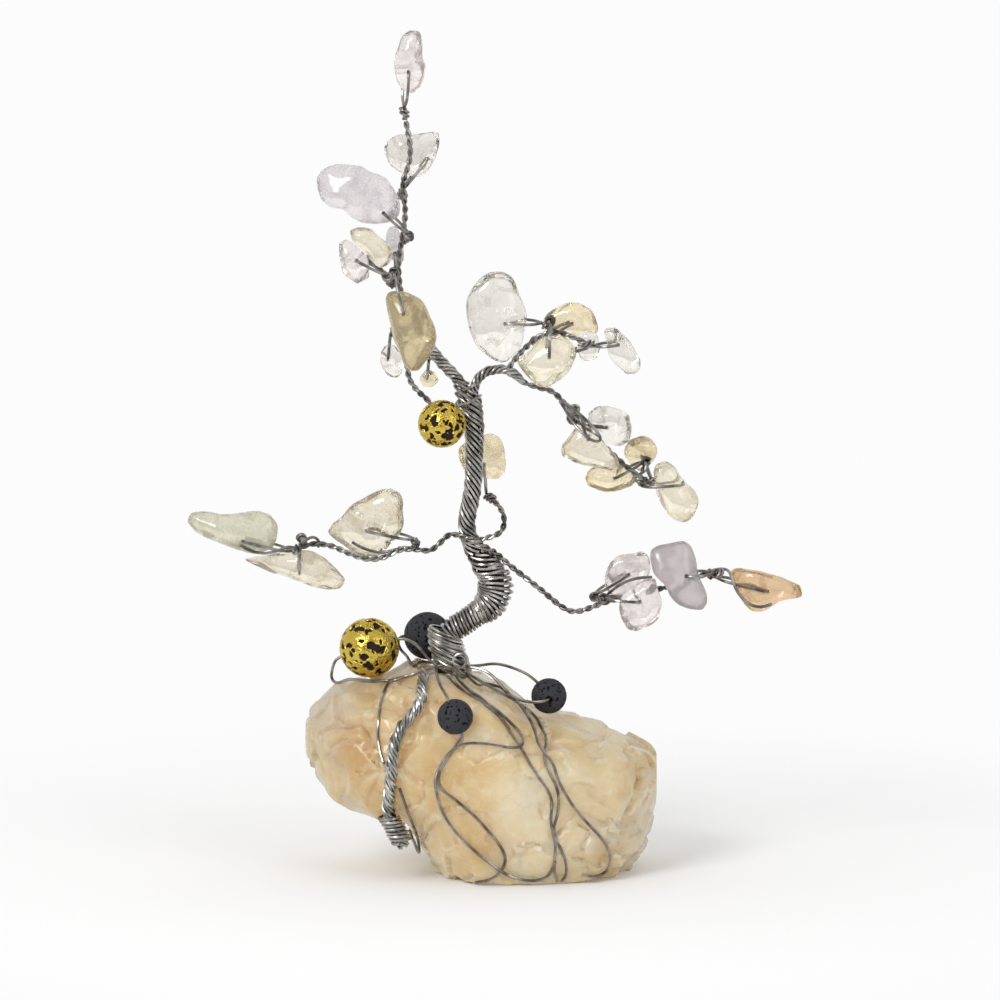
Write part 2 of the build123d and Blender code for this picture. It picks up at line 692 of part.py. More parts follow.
def make_chip(chip):
    """Tumbled chip with its two flat faces and its drilled hole."""
    _, bore, _ = chip_frame(chip)
    plane = Plane(origin=chip_hole(chip), z_dir=bore)
    mouth = RegularPolygon(CHIP_BORE / 2, BORE_SIDES, major_radius=False)
    drill = plane * extrude(mouth, BORE_OVERRUN, both=True)
    length, width, thick = (size * TREE_SCALE for size in chip.size)
    slab = Box(2 * length, 2 * length, thick * CHIP_FLAT_SHARE)
    flats = Plane(origin=in_tree(chip.middle), z_dir=bore) * slab
    return ((ring_solid(chip_rings(chip)) & flats) - drill).solid()


def rim_distance(corners, origin, away, aside):
    """Farthest way out of the corners' outline from a point, along one direction and beside it."""
    flat = [((c - origin).dot(away), (c - origin).dot(aside)) for c in corners]
    farthest = 0.0
    for angle in LEG_SIDE_ANGLES:
        turned = [(u * cos(angle) + v * sin(angle), v * cos(angle) - u * sin(angle)) for u, v in flat]
        above = [place for place in turned if place[1] >= 0]
        below = [place for place in turned if place[1] < 0]
        for u, v in above:
            for other_u, other_v in below:
                crossing = u + (other_u - u) * v / (v - other_v)
                farthest = max(farthest, crossing)
    return farthest


def chip_twig(chip):
    """Wire through a chip's hole, its two legs and the twist that they run into."""
    across, bore, up = chip_frame(chip)
    hole = chip_hole(chip)
    away = across * cos(radians(chip.arrival)) + up * sin(radians(chip.arrival))
    corners = [corner for ring in chip_rings(chip) for corner in ring]
    reach = rim_distance(corners, hole, away, bore.cross(away))
    half = chip.size[2] * TREE_SCALE / 2
    side = half + LEG_GAP + WIRE_DIAMETER / 2
    legs_end = hole + away * (reach + LEG_LEAD)
    twist_end = legs_end + away * (half * LEG_SPREAD_SHARE + TWIST_LEAD)
    small = WIRE_DIAMETER / 2 + WIND_GAP / 2
    bend = WIRE_DIAMETER
    route = [
        twist_end - bore * small,
        legs_end - bore * side,
        hole + away * (bend / 2) - bore * side,
        hole - bore * (side - bend),
        hole + bore * (side - bend),
        hole + away * (bend / 2) + bore * side,
        legs_end + bore * side,
        twist_end + bore * small,
    ]
    loop = tube(route, WIRE_DIAMETER / 2, WIRE_SIDES)
    points = [in_tree(p) for p in chip.route]
    way = (points[0] - twist_end).normalized()
    sideways = (way - away * way.dot(away)).length
    lift = SEAT_GAP + LEG_GAP + TWIST_DIAMETER / 2 * sideways
    points.insert(0, twist_end + away * lift)
    twist = tube(smooth(points), TWIST_DIAMETER / 2, TWIST_SIDES)
    return [loop, twist]


# Beads
def make_bead(middle, diameter, bore_way):
    """Rough lava bead, flat round the mouths of its bore."""
    rings = []
    for band in range(BEAD_BANDS + 1):
        angle = BEAD_MOUTH_ANGLE + (pi - 2 * BEAD_MOUTH_ANGLE) * band / BEAD_BANDS
        ring = []
        for side in range(BEAD_SIDES):
            turn = 2 * pi * (side + band / 2) / BEAD_SIDES
            out = diameter / 2 * sin(angle)
            ring.append(Vector(out * cos(turn), out * sin(turn), diameter / 2 * cos(angle)))
        rings.append(ring)
    ball = ring_solid(rings) - Cylinder(BEAD_BORE / 2, diameter + BORE_OVERRUN)
    return (Plane(origin=middle, z_dir=bore_way) * ball).solid()


@dataclass(frozen=True)
class Bead:
    name: str
    pixels: tuple
    diameter: float
    bore_way: tuple
    on_tree: bool = False


BEADS = [
    Bead("bead_gold_large", (368, 646, -6), LARGE_BEAD, (0.955, 0.0, 0.297)),
    Bead("bead_gold_small", (442, 424, -30), MEDIUM_BEAD, (0.50, -0.22, -0.84), True),
    Bead("bead_black_back", (427, 634, 44), MEDIUM_BEAD, (1.0, 0.0, 0.0)),
    Bead("bead_black_front", (455.5, 715), SMALL_BEAD, (0.38, 0.0, -0.925)),
    Bead("bead_black_right", (550.6, 694.7), SMALL_BEAD, (0.0, 1.0, 0.0)),
]


def bead_middle(bead):
    """Middle of a bead."""
    if bead.on_tree:
        return in_tree(bead.pixels)
    return on_stone(bead.pixels, bead.diameter / 2, -STONE_FRONT_DEPTH * BESIDE_STONE_SHARE)


def bead_way(bead):
    """Direction of a bead's bore, of length one."""
    return Vector(*bead.bore_way).normalized()


def hung_bead_twig():
    """Twisted twig that carries the small gold bead, hooked under it."""
    points = [in_tree(p) for p in BEAD_TWIG_PIXELS]
    points += through_bead("bead_gold_small", points[-1])
    points.append(points[-1] + Vector(-BEAD_HOOK, 0, -BEAD_HOOK / 3))
    return tube(smooth(points), TWIST_DIAMETER / 2, TWIST_SIDES)


def root_rope():
    """Thick twisted root over the front of the stone, and the wire coiled round its end."""
    path = laid_wire(ROOT_ROPE_PIXELS, ROOT_ROPE_DIAMETER / 2)
    depth = path[-1].Y / STONE_SCALE
    foot = Vector(0, 0, 0)
    top, bottom = (
        in_view((*p, depth), STONE_FOOT_PIXELS, foot, STONE_SCALE) for p in ROOT_COIL_PIXELS
    )
    rope = tube(smooth([*path, top, bottom]), ROOT_ROPE_DIAMETER / 2, ROPE_SIDES)
    radius = (ROOT_ROPE_DIAMETER + WIRE_DIAMETER) / 2 + WIND_GAP
    coil = winding(Line(top, bottom), COIL_START_SHARE, COIL_END_SHARE, radius,
                   lambda share: ROOT_COIL_PITCH, "root_coil")
    return [rope, coil]


def write(name, solids):
    """Write one node."""
    solids = solids if isinstance(solids, list) else [solids]
    shape = solids[0] if len(solids) == 1 else Compound(children=solids)
    shape.label = name
    export_step(shape, os.path.join("parts", name + ".step"))


def main():
    os.makedirs("parts", exist_ok=True)
    write("base_stone", make_stone())
    core, outer, knot, bound = make_trunk()
    write("trunk_core", core)
    write("trunk_strands", outer)
    write("root_knot", knot)
    write("trunk_winding", bound)
    bundles = {
        "leader_bundle": LEADER_PIXELS,
        "arch_bundle": ARCH_PIXELS,
    }
    for name, pixels in bundles.items():
        curve = Spline(*[in_tree(p) for p in pixels])
        write(name, tube(evenly(curve, 0, 1, BUNDLE_STEP), BUNDLE_DIAMETER / 2, ROPE_SIDES))
    twigs = {"leader_twist": [tube(smooth([in_tree(p) for p in LEADER_TIP_PIXELS]),
                                   TWIST_DIAMETER / 2, TWIST_SIDES)]}
    for chip in CHIPS:
        write(chip.name, make_chip(chip))
        twigs.setdefault(chip.twig, []).extend(chip_twig(chip))
    for name, solids in twigs.items():
        write(name, solids)
    for bead in BEADS:
        write(bead.name, make_bead(bead_middle(bead), bead.diameter, bead_way(bead)))
    write("bead_twig", hung_bead_twig())
    write("root_rope", root_rope())
    for name, routes in ROOT_WIRES_PIXELS.items():
        write(name, [
            tube(laid_wire(route, WIRE_DIAMETER / 2), WIRE_DIAMETER / 2, WIRE_SIDES)
            for route in routes
        ])


main()
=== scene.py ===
"""Dresses a wire tree ornament: gem chips and lava beads on twisted wire, on a rough stone."""
import json
import logging
import math
import random
from collections.abc import Sequence
from dataclasses import dataclass, field
from enum import Enum

import bpy
from mathutils import Matrix, Vector, noise
from mathutils.bvhtree import BVHTree


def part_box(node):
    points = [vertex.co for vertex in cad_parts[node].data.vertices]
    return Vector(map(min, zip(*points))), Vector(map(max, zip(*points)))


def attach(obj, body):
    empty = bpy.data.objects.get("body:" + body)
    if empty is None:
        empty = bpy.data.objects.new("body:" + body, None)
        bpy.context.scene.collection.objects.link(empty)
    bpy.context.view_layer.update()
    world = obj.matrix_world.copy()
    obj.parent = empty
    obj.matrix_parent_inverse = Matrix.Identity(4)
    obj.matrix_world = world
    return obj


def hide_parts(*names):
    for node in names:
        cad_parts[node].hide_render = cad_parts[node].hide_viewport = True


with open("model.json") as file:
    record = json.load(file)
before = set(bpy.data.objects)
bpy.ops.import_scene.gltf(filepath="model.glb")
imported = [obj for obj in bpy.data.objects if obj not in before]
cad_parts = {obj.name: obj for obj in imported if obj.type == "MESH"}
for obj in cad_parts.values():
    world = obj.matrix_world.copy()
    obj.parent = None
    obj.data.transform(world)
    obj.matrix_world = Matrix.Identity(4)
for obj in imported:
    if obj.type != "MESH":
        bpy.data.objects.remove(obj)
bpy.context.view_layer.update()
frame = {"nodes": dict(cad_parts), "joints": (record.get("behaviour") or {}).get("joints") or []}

LOG = logging.getLogger("gem_tree")
MM = 0.001
IOR_QUARTZ = 1.54
LOOK_DOWN = math.radians(9.5)
NOISE_SEED = 7

# Half a millimetre of craft wire, and how a pair of it is twisted.
WIRE_RADIUS = 0.25 * MM
WIRE_BEVEL = 2
PAIR_RADIUS = WIRE_RADIUS + 0.01 * MM
PAIR_LAY = 3.0 * MM
PAIR_WANDER = 0.06

# Steps of a line, and points of a turn, a corner, a bend and a drill.
TWIST_STEP = 0.3 * MM
LOOP_STEP = 0.35 * MM
COIL_STEP = 0.1 * MM
COIL_POINTS = 20
CORNER_POINTS = 6
BEND_POINTS = 12
DRILL_SIDES = 20

# Gaps that keep a wire clear of a chip or the stone, and of the floor.
SMALL_GAP = 0.12 * MM
FLOOR_GAP = 0.2 * MM

Pixels = tuple[float, ...]
Route = list[Pixels | str]
Stops = list[tuple[float, float]]


# General helpers
def linear(code: str) -> tuple[float, float, float, float]:
    """Linear colour of an sRGB hex value.

    Args:
        code: colour such as "#d9c49a".
    Returns:
        Red, green, blue and a full alpha for a shader socket.
    """
    parts = [int(code[i:i + 2], 16) / 255 for i in (1, 3, 5)]
    low = [c / 12.92 if c <= 0.04045 else ((c + 0.055) / 1.055) ** 2.4 for c in parts]
    return (low[0], low[1], low[2], 1.0)


def add_node(tree: bpy.types.NodeTree, kind: str, inputs: dict | None = None,
             **settings: object) -> bpy.types.Node:
    """Adds a node with its settings, and sets or links its inputs.

    Args:
        tree: node tree that takes the node.
        kind: type name of the node.
        inputs: socket name or index to a value, or to the output socket that feeds it.
        settings: attributes of the node.
    Returns:
        The new node.
    """
    node = tree.nodes.new(kind)
    for key, value in settings.items():
        setattr(node, key, value)
    for key, value in (inputs or {}).items():
        if isinstance(value, bpy.types.NodeSocket):
            tree.links.new(value, node.inputs[key])
        else:
            node.inputs[key].default_value = value
    return node


def set_ramp(node: bpy.types.Node, stops: Sequence[tuple[float, str]]) -> None:
    """Gives a colour ramp its stops.

    Args:
        node: the ramp node.
        stops: place from 0 to 1 and hex colour of each stop.
    """
    elements = node.color_ramp.elements
    while len(elements) < len(stops):
        elements.new(0.5)
    for element, (place, code) in zip(elements, stops):
        element.position = place
        element.color = linear(code)


def new_material(name: str) -> bpy.types.Material:
    """Makes a material with an empty node tree.

    Args:
        name: its name.
    Returns:
        The material.
    """
    made = bpy.data.materials.new(name)
    made.use_nodes = True
    made.node_tree.nodes.clear()
    return made


def take(piece: bpy.types.Object) -> None:
    """Selects one object alone and makes it active."""
    bpy.ops.object.select_all(action="DESELECT")
    piece.select_set(True)
    bpy.context.view_layer.objects.active = piece


def settle(piece: bpy.types.Object) -> None:
    """Moves an object's place, turn and size into its mesh."""
    take(piece)
    bpy.ops.object.transform_apply(location=True, rotation=True, scale=True)


def apply_all(piece: bpy.types.Object) -> None:
    """Applies each modifier of an object in order."""
    take(piece)
    for modifier in list(piece.modifiers):
        bpy.ops.object.modifier_apply(modifier=modifier.name)


def dress(piece: bpy.types.Object, material: bpy.types.Material, angle: float = 40.0) -> None:
    """Gives a piece one material and smooth shading.

    Args:
        piece: mesh object.
        material: its only material.
        angle: edges sharper than this, in degrees, stay sharp.
    """
    piece.data.materials.clear()
    piece.data.materials.append(material)
    take(piece)
    bpy.ops.object.shade_smooth_by_angle(angle=math.radians(angle))


def drill(piece: bpy.types.Object, middle: Vector, way: Vector, radius: float,
          length: float) -> None:
    """Cuts a round hole through a piece.

    Args:
        piece: closed mesh object.
        middle: point on the hole's axis.
        way: direction of the hole.
        radius: radius of the hole.
        length: length of the drill.
    """
    turn = way.to_track_quat("Z", "Y").to_euler()
    bpy.ops.mesh.primitive_cylinder_add(vertices=DRILL_SIDES, radius=radius, depth=length,
                                        location=middle, rotation=turn)
    cutter = bpy.context.object
    settle(cutter)
    take(piece)
    cut = piece.modifiers.new("bore", "BOOLEAN")
    cut.operation = "DIFFERENCE"
    cut.solver = "EXACT"
    cut.object = cutter
    bpy.ops.object.modifier_apply(modifier=cut.name)
    bpy.data.objects.remove(cutter)


# Paths
def rounded(points: list[Vector]) -> list[Vector]:
    """Points of a curve that rounds each corner from mid-run to mid-run.

    Args:
        points: corners of the route.
    Returns:
        Points of the rounded line, with both ends kept.
    """
    path = [points[0]]
    for a, b, c in zip(points, points[1:], points[2:]):
        start, end = (a + b) / 2, (b + c) / 2
        for step in range(CORNER_POINTS):
            share = (step + 0.5) / CORNER_POINTS
            near, far = start.lerp(b, share), b.lerp(end, share)
            path.append(near.lerp(far, share))
    path.append(points[-1])
    return path


def evenly(path: list[Vector], step: float) -> list[Vector]:
    """Points at even steps along a line.

    Args:
        path: points of the line.
        step: distance between the new points.
    Returns:
        The new points, from end to end.
    """
    lengths = [0.0]
    for a, b in zip(path, path[1:]):
        lengths.append(lengths[-1] + (b - a).length)
    count = max(2, round(lengths[-1] / step))
    made, index = [], 0
    for number in range(count + 1):
        along = lengths[-1] * number / count
        while index < len(path) - 2 and lengths[index + 1] < along:
            index += 1
        run = lengths[index + 1] - lengths[index]
        share = 0.0 if run == 0 else (along - lengths[index]) / run
        made.append(path[index].lerp(path[index + 1], min(max(share, 0), 1)))
    return made


def frames(path: list[Vector]) -> list[tuple[Vector, Vector, Vector, Vector]]:
    """Point, tangent and two normals along a line, carried without twist.

    Args:
        path: points of the line.
    Returns:
        One tuple for each point.
    """
    made, normal = [], None
    for index, point in enumerate(path):
        ahead, behind = path[min(index + 1, len(path) - 1)], path[max(index - 1, 0)]
        tangent = (ahead - behind).normalized()
        if normal is None:
            normal = Vector((1, 0, 0)) if abs(tangent.y) > 0.9 else Vector((0, 1, 0))
        normal = (normal - tangent * normal.dot(tangent)).normalized()
        made.append((point, tangent, normal, tangent.cross(normal)))
    return made


def between(stops: float | Stops, share: float) -> float:
    """Value at a share of a length.

    Args:
        stops: one value for the whole length, or stops of share and value.
        share: place along the length, from 0 to 1.
    Returns:
        The value, eased from stop to stop.
    """
    if not isinstance(stops, list):
        return stops
    for (a, low), (b, high) in zip(stops, stops[1:]):
        if share <= b:
            part = (share - a) / (b - a)
            part = part * part * (3 - 2 * part)
            return low + (high - low) * part
    return stops[-1][1]


def laid(path: list[Vector], count: int, centre_radius: float | Stops, lay: float | Stops,
         phase: float = 0.0, wander: float = 0.0) -> list[list[Vector]]:
    """Strands laid round a line with a left-handed lay.

    Args:
        path: middle line.
        count: number of strands.
        centre_radius: distance from the line to the middle of each strand, or stops of it.
        lay: length of one full turn, or stops of it along the line.
        phase: turn of the first strand, in radians.
        wander: share by which hand twisting shifts a strand in and out.
    Returns:
        The points of each strand.
    """
    made: list[list[Vector]] = [[] for _ in range(count)]
    total = sum((b - a).length for a, b in zip(path, path[1:]))
    length, turn, before = 0.0, 0.0, path[0]
    for point, _, normal, other in frames(path):
        step = (point - before).length
        length += step
        turn += step / between(lay, length / total)
        before = point
        for strand in range(count):
            angle = 2 * math.pi * (strand / count - turn) + phase
            loose = 1 + wander * math.sin(2.1 * strand + 900 * length)
            out = normal * math.cos(angle) + other * math.sin(angle)
            made[strand].append(point + out * between(centre_radius, length / total) * loose)
    return made


def coiled(path: list[Vector], centre_radius: float | Stops, pitch: float,
           unevenness: float = 0.0, tilt: float = 0.0, phase: float = 0.0) -> list[Vector]:
    """One wire wound closely round a line.

    Args:
        path: middle line, in even small steps.
        centre_radius: distance from the line to the middle of the wire, or stops of it.
        pitch: distance between turns.
        unevenness: share by which hand winding shifts the wire in and out.
        tilt: lean of each turn to one side, as a share of the radius.
        phase: turn of the first point, in radians.
    Returns:
        Points of the wire.
    """
    total = sum((b - a).length for a, b in zip(path, path[1:]))
    turns = total / pitch
    fine = evenly(path, total / (turns * COIL_POINTS))
    made = []
    for number, (point, tangent, normal, other) in enumerate(frames(fine)):
        angle = phase - 2 * math.pi * number / COIL_POINTS
        radius = between(centre_radius, number / len(fine))
        radius *= 1 + unevenness * math.sin(0.37 * number) * math.cos(0.11 * number)
        out = normal * math.cos(angle) + other * math.sin(angle)
        lean = tangent * (radius * (tilt * math.sin(angle)
                                    + 0.5 * unevenness * math.sin(0.23 * number)))
        made.append(point + out * radius + lean)
    return made


def wires(name: str, paths: list[list[Vector]]) -> bpy.types.Object:
    """Round wires along lines, as one mesh.

    Args:
        name: name of the piece.
        paths: points of each wire.
    Returns:
        The mesh object.
    """
    bpy.ops.object.select_all(action="DESELECT")
    bpy.ops.curve.primitive_nurbs_path_add(location=(0, 0, 0))
    line = bpy.context.object
    line.name = name
    line.data.splines.clear()
    for path in paths:
        spline = line.data.splines.new("POLY")
        spline.points.add(len(path) - 1)
        for place, point in zip(spline.points, path):
            place.co = (*point, 1.0)
    line.data.bevel_depth = WIRE_RADIUS
    line.data.bevel_resolution = WIRE_BEVEL
    line.data.use_fill_caps = True
    take(line)
    bpy.ops.object.convert(target="MESH")
    piece = bpy.context.object
    piece.data.name = name
    return piece


# Places in the view
@dataclass(frozen=True)
class View:
    """A view of the object that turns a place in it into a point.

    Attributes:
        foot_pixels: place of the reference point in the view.
        foot: the reference point.
        scale: metres for one pixel.
    """
    foot_pixels: tuple[float, float]
    foot: Vector
    scale: float

    def point(self, place: Pixels) -> Vector:
        """Point for a place: across, down and depth in pixels.

        Args:
            place: two or three numbers; without a third the depth is zero.
        Returns:
            The point in metres.
        """
        across, down, depth = (*place, 0.0)[:3]
        y = depth * self.scale
        rise = (self.foot_pixels[1] - down) * self.scale
        z = (rise - y * math.sin(LOOK_DOWN)) / math.cos(LOOK_DOWN)
        x = self.foot.x + (across - self.foot_pixels[0]) * self.scale
        return Vector((x, y, self.foot.z + z))

    def line(self, places: Sequence[Pixels], step: float) -> list[Vector]:
        """Points at even steps along a line that rounds the corners at some places."""
        return evenly(rounded([self.point(place) for place in places]), step)


# The stone is 58 mm and 361 pixels wide, and the tree's foot is 53 pixels left of its middle.
# The tree rises 105 mm and 643 pixels above its foot.
STONE_VIEW = View((500, 870), Vector((0, 0, 0)), 58 * MM / 361)
TREE_FOOT = Vector((-53 * STONE_VIEW.scale, 0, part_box("trunk_core")[0].z))
TREE_VIEW = View((447, 672), TREE_FOOT, 105 * MM / 643)


# Finishes
@dataclass(frozen=True)
class QuartzFinish:
    """Quartz tumbled in a drum: glassy stone, clear or milky, with soft veils inside.

    Attributes:
        name: name of the material.
        body: colour that the stone gives what shines through.
        veil: colour of the cloudy veils.
        clouding: share of the stone that veils fill, from 0 to 1.
        clearness: transmission of the clear places.
        roughness: polish of the surface.
        veil_size: size of a veil.
        dent_size: size of the shallow dents that tumbling leaves.
        dent_depth: depth of those dents.
    """
    name: str
    body: str
    veil: str
    clouding: float = 0.3
    clearness: float = 0.95
    roughness: float = 0.08
    veil_size: float = 3.0 * MM
    dent_size: float = 1.6 * MM
    dent_depth: float = 0.12 * MM

    def material(self) -> bpy.types.Material:
        """Makes the material.

        Returns:
            The material, with veils from noise in real size.
        """
        made = new_material(self.name)
        tree = made.node_tree
        place = add_node(tree, "ShaderNodeTexCoord")
        veils = add_node(tree, "ShaderNodeTexNoise",
                         {"Vector": place.outputs["Object"], "Scale": 1 / self.veil_size,
                          "Detail": 6.0, "Roughness": 0.62, "Distortion": 1.1})
        amount = add_node(tree, "ShaderNodeMapRange",
                          {"Value": veils.outputs["Fac"],
                           "From Min": 0.66 - 0.36 * self.clouding,
                           "From Max": 0.80 - 0.30 * self.clouding},
                          interpolation_type="SMOOTHSTEP")
        colour = add_node(tree, "ShaderNodeMix",
                          {0: amount.outputs["Result"], 6: linear(self.body),
                           7: linear(self.veil)}, data_type="RGBA")
        clear = add_node(tree, "ShaderNodeMapRange",
                         {"Value": amount.outputs["Result"],
                          "To Min": self.clearness, "To Max": self.clearness * 0.55})
        dents = add_node(tree, "ShaderNodeTexNoise",
                         {"Vector": place.outputs["Object"], "Scale": 1 / self.dent_size,
                          "Detail": 2.0})
        bump = add_node(tree, "ShaderNodeBump",
                        {"Height": dents.outputs["Fac"], "Strength": 0.10,
                         "Distance": self.dent_depth})
        shader = add_node(tree, "ShaderNodeBsdfPrincipled",
                          {"Base Color": colour.outputs[2], "Roughness": self.roughness,
                           "IOR": IOR_QUARTZ, "Transmission Weight": clear.outputs["Result"],
                           "Normal": bump.outputs["Normal"]})
        add_node(tree, "ShaderNodeOutputMaterial", {"Surface": shader.outputs["BSDF"]})
        return made


@dataclass(frozen=True)
class WireFinish:
    """Drawn steel wire: bright along its draw marks, darker where it has oxidised; the core's wire
    is a near-black painted shade instead.

    Attributes:
        name: name of the material.
        bright: colour of clean metal; for the core in painted shade, the lighter of its two shade
            colours.
        dark: colour of oxidised metal; for the core in painted shade, the darker of its two shade
            colours.
        roughness: dullness of the metal.
        patch_size: length of a patch of oxide.
        mark_size: distance between draw marks, drawn coarser than real so that they show.
        mark_depth: depth of a draw mark.
    """
    name: str
    bright: str
    dark: str
    roughness: float
    patch_size: float = 2.5 * MM
    mark_size: float = 0.3 * MM
    mark_depth: float = 0.02 * MM

    def material(self) -> bpy.types.Material:
        """Makes the material.

        Returns:
            The material, with patches of oxide a few millimetres long.
        """
        made = new_material(self.name)
        tree = made.node_tree
        place = add_node(tree, "ShaderNodeTexCoord")
        patches = add_node(tree, "ShaderNodeTexNoise",
                           {"Vector": place.outputs["Object"], "Scale": 1 / self.patch_size,
                            "Detail": 4.0})
        colour = add_node(tree, "ShaderNodeValToRGB", {"Fac": patches.outputs["Fac"]})
        set_ramp(colour, [(0.38, self.dark), (0.62, self.bright)])
        dull = add_node(tree, "ShaderNodeMapRange",
                        {"Value": patches.outputs["Fac"], "From Min": 0.3, "From Max": 0.7,
                         "To Min": self.roughness + 0.10, "To Max": self.roughness - 0.06})
        marks = add_node(tree, "ShaderNodeTexNoise",
                         {"Vector": place.outputs["Object"], "Scale": 1 / self.mark_size,
                          "Detail": 2.0})
        bump = add_node(tree, "ShaderNodeBump",
                        {"Height": marks.outputs["Fac"], "Strength": 0.08,
                         "Distance": self.mark_depth})
        shader = add_node(tree, "ShaderNodeBsdfPrincipled",
                          {"Base Color": colour.outputs["Color"], "Metallic": 1.0,
                           "Roughness": dull.outputs["Result"], "Normal": bump.outputs["Normal"]})
        add_node(tree, "ShaderNodeOutputMaterial", {"Surface": shader.outputs["BSDF"]})
        return made


@dataclass(frozen=True)
class LavaFinish:
    """Lava stone bead, turned round from porous rock: a crust with open pits.

    Attributes:
        name: name of the material.
        crust: colour of the outer crust, plated or bare.
        rim: colour of the crust on the slope into a pit, darker than the crust: partly bare rock,
            partly painted shade.
        pit: colour inside a pit and in the bore: bare rock where the gold does not reach, darkened
            further as painted shade in the hollow.
        metallic: metal share of the crust.
        roughness: dullness of the crust.
        pit_roughness: dullness inside a pit.
        grain_size: size of the grains of the rock.
        grain_depth: how far a grain stands out.
    """
    name: str
    crust: str
    rim: str
    pit: str
    metallic: float
    roughness: float
    pit_roughness: float = 0.85
    grain_size: float = 0.5 * MM
    grain_depth: float = 0.12 * MM

    def material(self) -> bpy.types.Material:
        """Makes the material.

        Returns:
            The material, which reads the pits that the bead's mesh has in its attribute.
        """
        made = new_material(self.name)
        tree = made.node_tree
        pit = add_node(tree, "ShaderNodeAttribute", attribute_name="pit")
        place = add_node(tree, "ShaderNodeTexCoord")
        grain = add_node(tree, "ShaderNodeTexNoise",
                         {"Vector": place.outputs["Object"], "Scale": 1 / self.grain_size,
                          "Detail": 5.0})
        # Painted shade: the colour darkens toward the inside of a pit, over the bare rock of a
        # plated bead.
        colour = add_node(tree, "ShaderNodeValToRGB", {"Fac": pit.outputs["Fac"]})
        set_ramp(colour, [(0.08, self.crust), (0.35, self.rim), (0.6, self.pit)])
        metal = add_node(tree, "ShaderNodeMapRange",
                         {"Value": pit.outputs["Fac"], "From Min": 0.3, "From Max": 0.6,
                          "To Min": self.metallic, "To Max": 0.0})
        dull = add_node(tree, "ShaderNodeMapRange",
                        {"Value": pit.outputs["Fac"], "From Min": 0.1, "From Max": 0.6,
                         "To Min": self.roughness, "To Max": self.pit_roughness})
        bump = add_node(tree, "ShaderNodeBump",
                        {"Height": grain.outputs["Fac"], "Strength": 0.5,
                         "Distance": self.grain_depth})
        shader = add_node(tree, "ShaderNodeBsdfPrincipled",
                          {"Base Color": colour.outputs["Color"],
                           "Metallic": metal.outputs["Result"],
                           "Roughness": dull.outputs["Result"], "Normal": bump.outputs["Normal"]})
        add_node(tree, "ShaderNodeOutputMaterial", {"Surface": shader.outputs["BSDF"]})
        return made


@dataclass(frozen=True)
class StonePatch:
    """A part of the stone with a colour of its own.

    Attributes:
        pixels: its middle in the stone's view.
        radius: distance at which it has faded out.
        colour: its colour.
        amount: how far it covers the colour below, from 0 to 1.
    """
    pixels: Pixels
    radius: float
    colour: str
    amount: float


